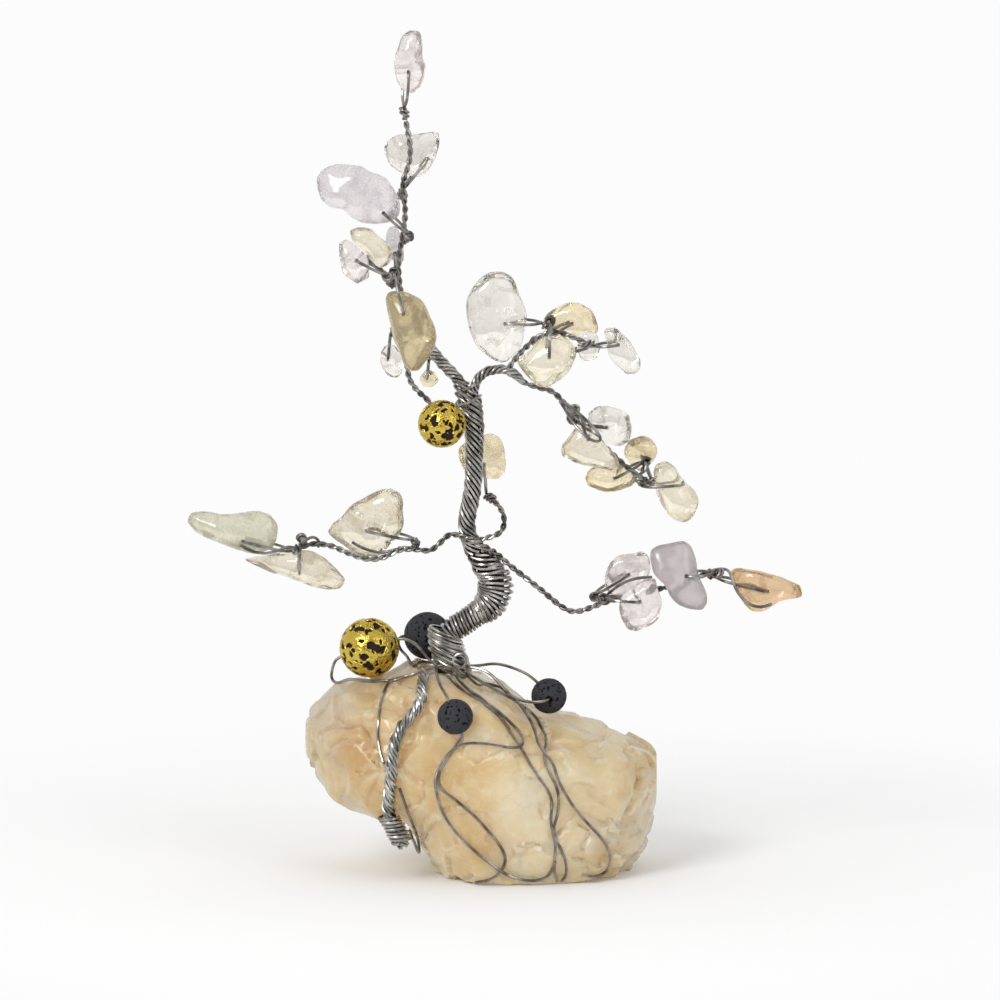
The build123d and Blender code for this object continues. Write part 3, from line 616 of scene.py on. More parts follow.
@dataclass(frozen=True)
class RoughStoneFinish:
    """Rough citrine, broken and not polished: waxy cream and honey stone that light enters.

    Attributes:
        name: name of the material.
        ramp: colours of the stone, from its honey parts to its milky parts.
        veil: colour of the thin pale veils.
        crack: colour of the healed cracks.
        edge: painted light: pale colour mixed in where the surface turns from the view, standing
            in for light shining through the thin edges.
        cloud_size: size of the honey and milky clouds.
        veil_size: size of a veil.
        crack_size: distance between healed cracks.
        crack_bend: how far the veils bend a crack.
        grain_size: size of the fine broken grain.
        grain_depth: depth of that grain.
        facets: size and steepness of the small tilted breaks, coarse and fine.
        depth: how far light gets under the surface.
        fray: how far the veils shift the edge of a patch.
        patches: honey and milky parts where the real stone has them.
    """
    name: str
    ramp: tuple[tuple[float, str], ...] = (
        (0.28, "#d2a65e"), (0.40, "#e8c890"), (0.52, "#f3dcb0"), (0.62, "#f8e7c6"),
        (0.74, "#f1e8d8"))
    veil: str = "#fbf4e0"
    crack: str = "#c2a26a"
    edge: str = "#fbf3e6"
    cloud_size: float = 16 * MM
    veil_size: float = 5 * MM
    crack_size: float = 9 * MM
    crack_bend: float = 6 * MM
    grain_size: float = 1.0 * MM
    grain_depth: float = 0.10 * MM
    facets: tuple[tuple[float, float], ...] = ((3.6 * MM, 0.32), (1.5 * MM, 0.16))
    depth: float = 5 * MM
    fray: float = 8 * MM
    patches: tuple[StonePatch, ...] = (
        StonePatch((318, 715, -60), 10 * MM, "#e6dfd0", 0.7),
        StonePatch((352, 752, -90), 8 * MM, "#cd9a4a", 0.65),
        StonePatch((425, 705, -90), 11 * MM, "#e6be78", 0.5),
        StonePatch((610, 760, -90), 12 * MM, "#fbf0d0", 0.6),
        StonePatch((640, 840, -60), 9 * MM, "#e6dbc2", 0.5),
        StonePatch((470, 850, -110), 10 * MM, "#d9b878", 0.4),
    )

    def material(self) -> bpy.types.Material:
        """Makes the material.

        Returns:
            The material, with honey patches, pale veils and a fine broken grain.
        """
        made = new_material(self.name)
        tree = made.node_tree
        place = add_node(tree, "ShaderNodeTexCoord")
        patches = add_node(tree, "ShaderNodeTexNoise",
                           {"Vector": place.outputs["Object"], "Scale": 1 / self.cloud_size,
                            "Detail": 4.0, "Roughness": 0.5, "Distortion": 0.6})
        colour = add_node(tree, "ShaderNodeValToRGB", {"Fac": patches.outputs["Fac"]})
        set_ramp(colour, self.ramp)
        veils = add_node(tree, "ShaderNodeTexNoise",
                         {"Vector": place.outputs["Object"], "Scale": 1 / self.veil_size,
                          "Detail": 7.0, "Roughness": 0.68, "Distortion": 1.4})
        thin = add_node(tree, "ShaderNodeMapRange",
                        {"Value": veils.outputs["Fac"], "From Min": 0.52, "From Max": 0.72,
                         "To Min": 0.0, "To Max": 0.6})
        veiled = add_node(tree, "ShaderNodeMix",
                          {0: thin.outputs["Result"], 6: colour.outputs["Color"],
                           7: linear(self.veil)}, data_type="RGBA")
        flat = add_node(tree, "ShaderNodeVectorMath",
                        {0: place.outputs["Object"], 1: (1.0, 0.0, 1.0)}, operation="MULTIPLY")
        below = veiled.outputs[2]
        for patch in self.patches:
            middle = STONE_VIEW.point(patch.pixels)
            far = add_node(tree, "ShaderNodeVectorMath",
                           {0: flat.outputs["Vector"], 1: (middle.x, 0.0, middle.z)},
                           operation="DISTANCE")
            uneven = add_node(tree, "ShaderNodeMath",
                              {0: veils.outputs["Fac"], 1: self.fray, 2: far.outputs["Value"]},
                              operation="MULTIPLY_ADD")
            cover = add_node(tree, "ShaderNodeMapRange",
                             {"Value": uneven.outputs["Value"], "From Min": self.fray / 2,
                              "From Max": patch.radius + self.fray / 2,
                              "To Min": patch.amount, "To Max": 0.0},
                             interpolation_type="SMOOTHSTEP")
            mixed = add_node(tree, "ShaderNodeMix",
                             {0: cover.outputs["Result"], 6: below, 7: linear(patch.colour)},
                             data_type="RGBA")
            below = mixed.outputs[2]
        bent = add_node(tree, "ShaderNodeVectorMath",
                        {0: veils.outputs["Color"], 1: (self.crack_bend,) * 3,
                         2: place.outputs["Object"]}, operation="MULTIPLY_ADD")
        cracks = add_node(tree, "ShaderNodeTexVoronoi",
                          {"Vector": bent.outputs["Vector"], "Scale": 1 / self.crack_size},
                          feature="DISTANCE_TO_EDGE")
        line = add_node(tree, "ShaderNodeMapRange",
                        {"Value": cracks.outputs["Distance"], "From Min": 0.0, "From Max": 0.022,
                         "To Min": 0.14, "To Max": 0.0}, interpolation_type="SMOOTHSTEP")
        cracked = add_node(tree, "ShaderNodeMix",
                           {0: line.outputs["Result"], 6: below, 7: linear(self.crack)},
                           data_type="RGBA")
        # Painted light: the surface is mixed toward a pale colour where it turns away from the
        # view, standing in for light shining through the thin edges.
        rim = add_node(tree, "ShaderNodeLayerWeight", {"Blend": 0.45})
        edge = add_node(tree, "ShaderNodeMapRange",
                        {"Value": rim.outputs["Facing"], "From Min": 0.30, "From Max": 0.95,
                         "To Min": 0.0, "To Max": 0.75}, interpolation_type="SMOOTHSTEP")
        whole = add_node(tree, "ShaderNodeMix",
                         {0: edge.outputs["Result"], 6: cracked.outputs[2],
                          7: linear(self.edge)}, data_type="RGBA")
        grain = add_node(tree, "ShaderNodeTexNoise",
                         {"Vector": place.outputs["Object"], "Scale": 1 / self.grain_size,
                          "Detail": 7.0, "Roughness": 0.6})
        height = add_node(tree, "ShaderNodeMath",
                          {0: grain.outputs["Fac"], 1: self.grain_depth}, operation="MULTIPLY")
        for size, steepness in self.facets:
            facets = add_node(tree, "ShaderNodeTexVoronoi",
                              {"Vector": place.outputs["Object"], "Scale": 1 / size})
            lean = add_node(tree, "ShaderNodeVectorMath",
                            {0: facets.outputs["Color"], 1: (0.5, 0.5, 0.5)},
                            operation="SUBTRACT")
            off = add_node(tree, "ShaderNodeVectorMath",
                           {0: place.outputs["Object"], 1: facets.outputs["Position"]},
                           operation="SUBTRACT")
            slope = add_node(tree, "ShaderNodeVectorMath",
                             {0: off.outputs["Vector"], 1: lean.outputs["Vector"]},
                             operation="DOT_PRODUCT")
            height = add_node(tree, "ShaderNodeMath",
                              {0: slope.outputs["Value"], 1: steepness,
                               2: height.outputs["Value"]}, operation="MULTIPLY_ADD")
        bump = add_node(tree, "ShaderNodeBump",
                        {"Height": height.outputs["Value"], "Strength": 0.8, "Distance": 1.0})
        shader = add_node(tree, "ShaderNodeBsdfPrincipled",
                          {"Base Color": whole.outputs[2], "Roughness": 0.20,
                           "IOR": IOR_QUARTZ, "Transmission Weight": 0.5,
                           "Subsurface Weight": 0.8, "Subsurface Scale": self.depth,
                           "Subsurface Radius": (1.0, 0.75, 0.42),
                           "Normal": bump.outputs["Normal"]})
        add_node(tree, "ShaderNodeOutputMaterial", {"Surface": shader.outputs["BSDF"]})
        return made


class Wire(Enum):
    """Finishes of wire."""
    # Clean drawn wire: silver with bright lines of light on each turn.
    BRIGHT = WireFinish("drawn_steel_wire", "#c6c4c0", "#85827e", 0.30)
    # Oxidised wire: dark grey, so that a twist reads as one dark line.
    OXIDISED = WireFinish("oxidised_steel_wire", "#a3a09c", "#5c5956", 0.32)
    # Handled wire: warm grey, a little dull, with darker patches.
    WORN = WireFinish("handled_steel_wire", "#a19d98", "#5f5b56", 0.30)
    # Painted shade: the core inside the bundle is nearly black, so that the gaps between strands
    # look dark as if in shadow.
    INNER = WireFinish("steel_wire_in_shade", "#3c3a38", "#262524", 0.5)


class Gem(Enum):
    """Finishes of tumbled chips. Each value is the record's slot and the finish."""
    # Clear quartz: like glass, with light grey veils and dark rims.
    CLEAR = ("clear_quartz", QuartzFinish("clear_quartz_tumbled", "#f8f5ee", "#e0dad0", 0.4))
    # Quartz with a honey tint: clear, warmer where it is thick.
    HONEY = ("clear_quartz",
             QuartzFinish("honey_tinted_quartz_tumbled", "#f5eedc", "#ddd1b6", 0.45, 0.92))
    # Rose quartz: almost clear, with a breath of pink in the veils.
    ROSE = ("rose_quartz", QuartzFinish("rose_quartz_tumbled", "#f8f1ef", "#eae1df", 0.5, 0.88))
    # Lavender quartz: milky and soft, its polish a little dull.
    LAVENDER = ("lavender_quartz",
                QuartzFinish("lavender_quartz_tumbled", "#efeaeb", "#d9d2d5", 0.5, 0.75, 0.12))
    # Grey lavender quartz: the cloudiest of the chips.
    GREY = ("lavender_quartz",
            QuartzFinish("grey_lavender_quartz_tumbled", "#d6cecf", "#bbb2b3", 0.5, 0.6, 0.14))
    # Smoky citrine: olive honey, half clear.
    SMOKY = ("smoky_citrine",
             QuartzFinish("smoky_citrine_tumbled", "#d8c8a0", "#bfac80", 0.45, 0.7, 0.12))
    # Amber citrine: peach and glassy.
    AMBER = ("amber_citrine",
             QuartzFinish("amber_citrine_tumbled", "#eecfa6", "#dcb489", 0.4, 0.8))
    # Pale amber citrine: light straw, clear.
    PALE_AMBER = ("amber_citrine",
                  QuartzFinish("pale_amber_citrine_tumbled", "#fbf0cf", "#f1dfb2", 0.4, 0.88))
    # Green quartz: milky grey green with a satin polish.
    GREEN = ("green_quartz",
             QuartzFinish("green_quartz_tumbled", "#e4e1cd", "#d3cfba", 0.5, 0.72, 0.12))
    # Cream citrine: clear with cream veils.
    CREAM = ("cream_citrine",
             QuartzFinish("cream_citrine_tumbled", "#f9f2de", "#efe6ca", 0.45, 0.88))
    # Yellow citrine: clear with a light butter tint.
    YELLOW = ("yellow_citrine",
              QuartzFinish("yellow_citrine_tumbled", "#fdf0d0", "#f3dfae", 0.4, 0.9))


class Lava(Enum):
    """Finishes of lava beads. Each value is the record's slot and the finish."""
    # Gold-plated lava: bright warm metal round open pits, black from the bare rock and from
    # painted shade.
    GOLD = ("gold_lava",
            LavaFinish("gold_plated_lava", "#d0b552", "#86692b", "#20140a", 1.0, 0.24))
    # Bare lava: dull charcoal rock with fine pits, painted near black inside as painted shade.
    BLACK = ("black_lava",
             LavaFinish("bare_black_lava", "#2a2a30", "#1c1c22", "#08080a", 0.0, 0.72))


Finish = QuartzFinish | WireFinish | LavaFinish | RoughStoneFinish


class Palette:
    """Makes each finish once."""

    def __init__(self) -> None:
        """Starts with no material made."""
        self.made: dict[str, bpy.types.Material] = {}

    def of(self, finish: Finish) -> bpy.types.Material:
        """Material of a finish.

        Args:
            finish: one of the finish dataclasses.
        Returns:
            Its material, the same one each time.
        """
        if finish.name not in self.made:
            self.made[finish.name] = finish.material()
        return self.made[finish.name]


PALETTE = Palette()


def stand_in(name: str, node: str, paths: list[list[Vector]], finish: Wire) -> None:
    """Makes the wires that stand for one CAD node of the tree, and dresses them.

    Args:
        name: name of the piece.
        node: the CAD node.
        paths: points of each wire.
        finish: finish of the wires.
    """
    piece = wires(name, paths)
    dress(piece, PALETTE.of(finish.value))
    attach(piece, "tree")
    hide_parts(node)
    LOG.info("%s: %d wires", name, len(paths))


# Stone
@dataclass
class RoughStone:
    """The rough stone that the tree is rooted on.

    Attributes:
        voxel: grain of the rebuilt surface.
        swell: what the rebuilt surface gives back of the edges that it rounds.
        seed: start of the chance that places the breaks.
        breaks: number of flat breaks.
        break_depth: depth of the deepest break.
        break_levels: least and largest depth of a break, as shares of the deepest.
        break_reach: least and largest reach of a break, in millimetres.
        break_lean: how far a break leans from the surface below.
        facet_size: size of the tilted facets.
        facet_depth: how far a facet rises or sinks at most.
        wave_size: size of the waves that bend the facets' edges.
        grain_sizes: size of the coarse and of the fine grain.
        grain_depth: depth of the grain.
    """
    voxel: float = 0.8 * MM
    swell: float = 0.75 * MM
    seed: int = 7
    breaks: int = 45
    break_depth: float = 0.7 * MM
    break_levels: tuple[float, float] = (0.1, 0.6)
    break_reach: tuple[float, float] = (5.0, 12.0)
    break_lean: float = 0.35
    facet_size: float = 6.5 * MM
    facet_depth: float = 0.4 * MM
    wave_size: float = 4 * MM
    grain_sizes: tuple[float, float] = (1.3 * MM, 0.6 * MM)
    grain_depth: float = 0.025 * MM

    def build(self) -> bpy.types.Object:
        """Copies the CAD stone, breaks its surface up and dresses it.

        Returns:
            The stone.
        """
        source = frame["nodes"]["base_stone"]
        stone = bpy.data.objects.new("rough_stone", source.data.copy())
        bpy.context.scene.collection.objects.link(stone)
        take(stone)
        bpy.ops.object.mode_set(mode="EDIT")
        bpy.ops.mesh.select_all(action="SELECT")
        bpy.ops.mesh.remove_doubles(threshold=0.001 * MM)
        bpy.ops.object.mode_set(mode="OBJECT")
        grain = stone.modifiers.new("grain", "REMESH")
        grain.mode = "VOXEL"
        grain.voxel_size = self.voxel
        soft = stone.modifiers.new("soft", "SMOOTH")
        soft.factor = 0.5
        soft.iterations = 2
        finer = stone.modifiers.new("finer", "SUBSURF")
        finer.levels = finer.render_levels = 1
        apply_all(stone)
        self.break_off(stone)
        low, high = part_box("base_stone")
        for vertex in stone.data.vertices:
            vertex.co = [min(max(value, least), most)
                         for value, least, most in zip(vertex.co, low, high)]
        # Broken citrine: warm and waxy, milky in parts, with glints, and with painted light: a
        # pale colour on the thin edges where the surface turns from the view.
        dress(stone, PALETTE.of(RoughStoneFinish("rough_citrine_broken")), 60)
        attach(stone, "tree")
        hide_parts("base_stone")
        LOG.info("stone: %d faces", len(stone.data.polygons))
        return stone

    def break_off(self, stone: bpy.types.Object) -> None:
        """Flattens patches of the surface into breaks and roughens them.

        Args:
            stone: the rebuilt stone.
        """
        chance = random.Random(self.seed)
        mesh = stone.data
        normals = [vertex.normal.copy() for vertex in mesh.vertices]
        places = [vertex.co + normal * self.swell
                  for vertex, normal in zip(mesh.vertices, normals)]
        for _ in range(self.breaks):
            index = chance.randrange(len(places))
            lean = Vector([chance.uniform(-self.break_lean, self.break_lean) for _ in range(3)])
            normal = (normals[index] + lean).normalized()
            depth = self.break_depth * chance.uniform(*self.break_levels)
            level = places[index].dot(normal) - depth
            reach = chance.uniform(*self.break_reach) * MM
            for number, place in enumerate(places):
                over = place.dot(normal) - level
                if 0 < over < self.break_depth and (place - places[index]).length < reach:
                    places[number] = place - normal * over
        for vertex, place, normal in zip(mesh.vertices, places, normals):
            bent = place / self.facet_size + 0.15 * noise.noise_vector(place / self.wave_size)
            _, centres = noise.voronoi(bent)
            tilt = noise.noise_vector(centres[0] * 3.7)
            rise = (bent - centres[0]).dot(tilt) * 0.5 * self.facet_size
            rise = min(max(rise, -self.facet_depth), self.facet_depth)
            coarse, fine = (noise.noise(place / size) for size in self.grain_sizes)
            grain = self.grain_depth * (1.5 + (coarse + 0.5 * fine))
            vertex.co = place + normal * (rise - self.facet_depth - grain)


@dataclass
class StoneFace:
    """Finds where wires lie on the front of the stone.

    Attributes:
        stone: the stone.
        ahead: depth in front of the stone that each ray starts from.
        rings: rings of a ball that are laid against the stone, as shares of its radius.
        sides: rays of a ring.
        tries: rounds in which the depth of a place in the view settles.
        passes: rounds in which a wire is laid down and eased.
        step: distance between the points of a laid wire.
    """
    stone: bpy.types.Object
    ahead: float = -0.1
    rings: tuple[float, ...] = (0, 0.33, 0.65, 0.98)
    sides: int = 8
    tries: int = 6
    passes: int = 3
    step: float = 0.5 * MM

    def __post_init__(self) -> None:
        """Prepares the stone for ray casts."""
        self.tree = BVHTree.FromObject(self.stone, bpy.context.evaluated_depsgraph_get())

    def front(self, x: float, z: float) -> float:
        """Depth of the stone's front at a place, or infinity beside it."""
        place, *_ = self.tree.ray_cast(Vector((x, self.ahead, z)), Vector((0, 1, 0)))
        return math.inf if place is None else place.y

    def seat(self, x: float, z: float, radius: float) -> float:
        """Depth of the middle of a ball that touches the stone's front.

        Args:
            x: place across.
            z: height.
            radius: radius of the ball.
        Returns:
            The depth, or infinity beside the stone.
        """
        reach = radius + SMALL_GAP
        depth = math.inf
        for share in self.rings:
            for step in range(self.sides if share else 1):
                out = reach * share
                angle = 2 * math.pi * step / self.sides
                here = self.front(x + out * math.cos(angle), z + out * math.sin(angle))
                depth = min(depth, here - math.sqrt(reach * reach - out * out))
        return depth

    def on(self, place: Pixels, radius: float) -> Vector:
        """Point of a wire that lies on the stone at a place of the view.

        Args:
            place: across and down, with a depth where the wire leaves the stone.
            radius: radius of the wire.
        Returns:
            The point.
        """
        if len(place) == 3:
            return STONE_VIEW.point(place)
        depth = 0.0
        for _ in range(self.tries):
            point = STONE_VIEW.point((*place, depth / STONE_VIEW.scale))
            z = max(point.z, radius + FLOOR_GAP)
            found = self.seat(point.x, z, radius)
            if found < math.inf:
                depth = found
        return Vector((point.x, depth, z))

    def lay(self, route: Route, radius: float, beads: dict[str, "Bead"]) -> list[Vector]:
        """Path of a wire along the stone.

        Args:
            route: places, and names of the beads that the wire is threaded through.
            radius: radius of the wire or rope.
            beads: the beads by name.
        Returns:
            Points in small steps, none of them inside the stone.
        """
        points: list[Vector] = []
        for place in route:
            if isinstance(place, str):
                points += beads[place].threaded(points[-1])
            else:
                points.append(self.on(place, radius))
        fine = evenly(rounded(points), self.step)
        for _ in range(self.passes):
            for index, point in enumerate(fine):
                seat = self.seat(point.x, point.z, radius)
                fine[index] = Vector((point.x, min(point.y, seat), point.z))
            middle = [(a + b * 2 + c) / 4 for a, b, c in zip(fine, fine[1:], fine[2:])]
            fine = [fine[0], *middle, fine[-1]]
        return fine


# Beads
@dataclass
class Bead:
    """A drilled lava bead that spins on its wire.

    Attributes:
        name: the CAD node.
        diameter: diameter of the bead.
        lava: its finish.
        pit_size: distance between pits.
        pit_share: width of a pit as a share of that distance.
        pit_depth: depth of a pit.
        lead: what a wire runs straight on before and after the bead.
        bore: diameter of the hole.
        crust: share of the radius outside which the surface is crust and not bore.
        grain: roughness of the crust.
        middle: the bead's middle.
        way: direction of its hole.
    """
    name: str
    diameter: float
    lava: Lava
    pit_size: float = 1.0 * MM
    pit_share: float = 0.30
    pit_depth: float = 0.4 * MM
    lead: float = 0.9 * MM
    bore: float = 1.2 * MM
    crust: float = 0.985
    grain: float = 0.06 * MM
    middle: Vector = field(default_factory=Vector)
    way: Vector = field(default_factory=Vector)

    def __post_init__(self) -> None:
        """Takes the bead's place and bore from its joint."""
        joint = next(j for j in frame["joints"] if j["child"] == self.name + "_body")
        self.middle = Vector(joint["pos_m"])
        self.way = Vector(joint["axis"]).normalized()

    def threaded(self, before: Vector) -> list[Vector]:
        """Points of a wire straight through the bead, from the side it comes from.

        Args:
            before: the wire's last point ahead of the bead.
        Returns:
            Four points.
        """
        way = -self.way if (before - self.middle).dot(self.way) > 0 else self.way
        inner, outer = self.diameter / 2 - self.lead, self.diameter / 2 + self.lead
        return [self.middle + way * reach for reach in (-outer, -inner, inner, outer)]

    def build(self) -> bpy.types.Object:
        """Makes the bead: a ball, its bore and its pits.

        Returns:
            The bead.
        """
        bpy.ops.object.select_all(action="DESELECT")
        bpy.ops.mesh.primitive_ico_sphere_add(subdivisions=7, radius=self.diameter / 2,
                                              location=self.middle)
        ball = bpy.context.object
        ball.name = self.name.replace("bead_", "lava_bead_")
        ball.data.name = ball.name
        settle(ball)
        drill(ball, self.middle, self.way, self.bore / 2, self.diameter * 1.5)
        self.open_pits(ball)
        dress(ball, PALETTE.of(self.lava.value[1]), 180)
        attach(ball, self.name + "_body")
        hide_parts(self.name)
        LOG.info("bead %s", ball.name)
        return ball

    def open_pits(self, ball: bpy.types.Object) -> None:
        """Sinks irregular pits into the crust and notes them in an attribute.

        Args:
            ball: the drilled ball.
        """
        pits = ball.data.attributes.new("pit", "FLOAT", "POINT")
        for vertex in ball.data.vertices:
            out = vertex.co - self.middle
            place = vertex.co / self.pit_size
            place += 0.32 * noise.noise_vector(place * 1.7)
            near, centres = noise.voronoi(place)
            width = self.pit_share + 0.24 * noise.noise(centres[0] * 3.1)
            pit = min(max((width - near[0]) / 0.10 + 0.5, 0.0), 1.0)
            pit = pit * pit * (3 - 2 * pit)
            on_crust = out.length > self.diameter / 2 * self.crust
            rough = self.grain * (2 + noise.noise(place * 5))
            if on_crust:
                vertex.co -= out.normalized() * (self.pit_depth * pit + rough)
            # The bore takes the darkest pit colour: bare rock under the gold, and painted shade in
            # the hole.
            pits.data[vertex.index].value = pit if on_crust else 1.0


# Chips
@dataclass
class Chip:
    """A tumbled chip that a wire passes through.

    Attributes:
        name: the CAD node.
        gem: its finish.
        depth: depth of its middle in pixels.
        thick: thickness in pixels.
        outline: its outline in the view, in pixels.
        arrival: side that the twig comes from, in degrees.
        twig: the CAD node of its twig.
        route: the twig's way back to the wire that carries it, in pixels.
        stations: place through the thickness and size of each station of the body.
        skew: how far the two faces lie off each other, as a share of half the thickness.
        dent_size: size of the dents that tumbling leaves.
        dent_depth: depth of those dents.
        bore_radius: radius of the hole.
        leg_lead: what the legs of wire run on past the rim.
        leg_angles: directions in which the legs stay clear of the rim, in degrees.
        closing: length in which the legs close, as a share of half the thickness.
        twist_lead: what is added to that length.
        knot: radius and pitch of the small knot where the twist starts.
    """
    name: str
    gem: Gem
    depth: float
    thick: float
    outline: list[tuple[float, float]]
    arrival: float
    twig: str
    route: tuple[Pixels, ...]
    stations: tuple[tuple[float, float], ...] = (
        (-0.5, 0.40), (-0.40, 0.76), (0.0, 1.03), (0.40, 0.76), (0.5, 0.40))
    skew: float = 0.28
    dent_size: float = 3.6 * MM
    dent_depth: float = 0.9 * MM
    bore_radius: float = 0.35 * MM
    leg_lead: float = 0.35 * MM
    leg_angles: tuple[float, ...] = (-18, 0, 18)
    closing: float = 0.55
    twist_lead: float = 0.2 * MM
    knot: tuple[float, float] = (0.62 * MM, 0.62 * MM)

    def __post_init__(self) -> None:
        """Takes the hole and its direction from the chip's joint."""
        joint = next(j for j in frame["joints"] if j["child"] == self.name + "_body")
        self.hole = Vector(joint["pos_m"])
        self.bore = Vector(joint["axis"]).normalized()
        self.up = Vector((0, 0, 1))
        self.across = self.bore.cross(self.up)
        self.half = self.thick * TREE_VIEW.scale / 2

    def rim(self) -> list[Vector]:
        """Points of the outline on the chip's middle plane.

        Returns:
            One point for each corner of the outline.
        """
        points = []
        for across, down in self.outline:
            point = TREE_VIEW.point((across, down, self.depth))
            off = (point - self.hole).dot(self.bore)
            points.append(point - self.bore * off)
        return points

    def build(self) -> bpy.types.Object:
        """Makes the chip: a plate with the outline, drawn in to both faces and tumbled smooth.

        Returns:
            The chip.
        """
        corners = self.rim()
        rim = []
        for a, b in zip(corners, corners[1:] + corners[:1]):
            rim += [a, (a + b) / 2]
        middle = sum(rim, Vector()) / len(rim)
        seed = sum(across for across, _ in self.outline)
        shift = (self.across * math.cos(seed) + self.up * math.sin(seed)) * (self.skew * self.half)
        bpy.ops.object.select_all(action="DESELECT")
        bpy.ops.mesh.primitive_circle_add(vertices=len(rim), radius=1 * MM, fill_type="NGON",
                                          location=(0, 0, 0))
        chip = bpy.context.object
        chip.name = self.name.replace("chip_", "gem_")
        chip.data.name = chip.name
        low, low_share = self.stations[0]
        for vertex, point in zip(chip.data.vertices, rim):
            vertex.co = middle + (point - middle) * low_share + self.bore * (2 * self.half * low)
            vertex.co += shift * (2 * low)
        bpy.ops.object.mode_set(mode="EDIT")
        bpy.ops.mesh.select_all(action="SELECT")
        for (before, before_share), (after, after_share) in zip(self.stations, self.stations[1:]):
            rise = after - before
            step = self.bore * (2 * self.half * rise) + shift * (2 * rise)
            bpy.ops.mesh.extrude_region_move(TRANSFORM_OT_translate={"value": step})
            size = after_share / before_share
            here = middle + self.bore * (2 * self.half * after) + shift * (2 * after)
            bpy.ops.transform.resize(value=(size, size, size), center_override=here)
        bpy.ops.mesh.select_all(action="SELECT")
        bpy.ops.mesh.normals_make_consistent(inside=False)
        bpy.ops.object.mode_set(mode="OBJECT")
        smooth = chip.modifiers.new("tumbled", "SUBSURF")
        smooth.levels = smooth.render_levels = 2
        texture = bpy.data.textures.new("dents", "CLOUDS")
        texture.noise_scale = self.dent_size
        texture.noise_depth = 0
        dents = chip.modifiers.new("dents", "DISPLACE")
        dents.texture = texture
        dents.texture_coords = "LOCAL"
        dents.mid_level = 0.55 + 0.05 * math.sin(seed)
        dents.strength = self.dent_depth
        apply_all(chip)
        drill(chip, self.hole, self.bore, self.bore_radius, 20 * MM)
        dress(chip, PALETTE.of(self.gem.value[1]), 60)
        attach(chip, self.name + "_body")
        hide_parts(self.name)
        LOG.info("chip %s", chip.name)
        return chip

    def reach(self, away: Vector) -> float:
        """Distance from the hole to the rim, along one direction and beside it.

        Args:
            away: the direction.
        Returns:
            The largest of three distances.
        """
        aside = self.bore.cross(away)
        rim = [point - self.hole for point in self.rim()]
        farthest = 0.0
        for lean in self.leg_angles:
            way = Matrix.Rotation(math.radians(lean), 3, self.bore) @ away
            beside = Matrix.Rotation(math.radians(lean), 3, self.bore) @ aside
            for a, b in zip(rim, rim[1:] + rim[:1]):
                v, w = a.dot(beside), b.dot(beside)
                if v * w < 0:
                    farthest = max(farthest, a.lerp(b, v / (v - w)).dot(way))
        return farthest

    def wires(self) -> list[list[Vector]]:
        """Wire through the hole, and the two legs twisted back to the wire that carries them.

        Returns:
            The points of each wire.
        """
        turn = math.radians(self.arrival)
        away = self.across * math.cos(turn) + self.up * math.sin(turn)
        side = self.half + SMALL_GAP + WIRE_RADIUS
        legs_end = self.hole + away * (self.reach(away) + self.leg_lead)
        twist_start = legs_end + away * (self.half * self.closing + self.twist_lead)
        small = WIRE_RADIUS + 0.02 * MM
        bend = 2 * WIRE_RADIUS
        loop = [
            twist_start - self.bore * small,
            legs_end - self.bore * side,
            self.hole + away * bend - self.bore * side,
            self.hole - self.bore * (side - bend),
            self.hole + self.bore * (side - bend),
            self.hole + away * bend + self.bore * side,
            legs_end + self.bore * side,
            twist_start + self.bore * small,
        ]
        made = [evenly(rounded(loop), LOOP_STEP)]
        middle = [TREE_VIEW.point(place) for place in self.route]
        way = (middle[0] - twist_start).normalized()
        sideways = (way - away * way.dot(away)).length
        middle.insert(0, twist_start + away * (0.3 * MM * sideways))
        path = evenly(rounded(middle), TWIST_STEP)
        made += laid(path, 2, PAIR_RADIUS, PAIR_LAY, wander=PAIR_WANDER)
        made.append(coiled(evenly(path[1:6], COIL_STEP), *self.knot, unevenness=0.08, tilt=0.3,
                           phase=self.depth))
        return made


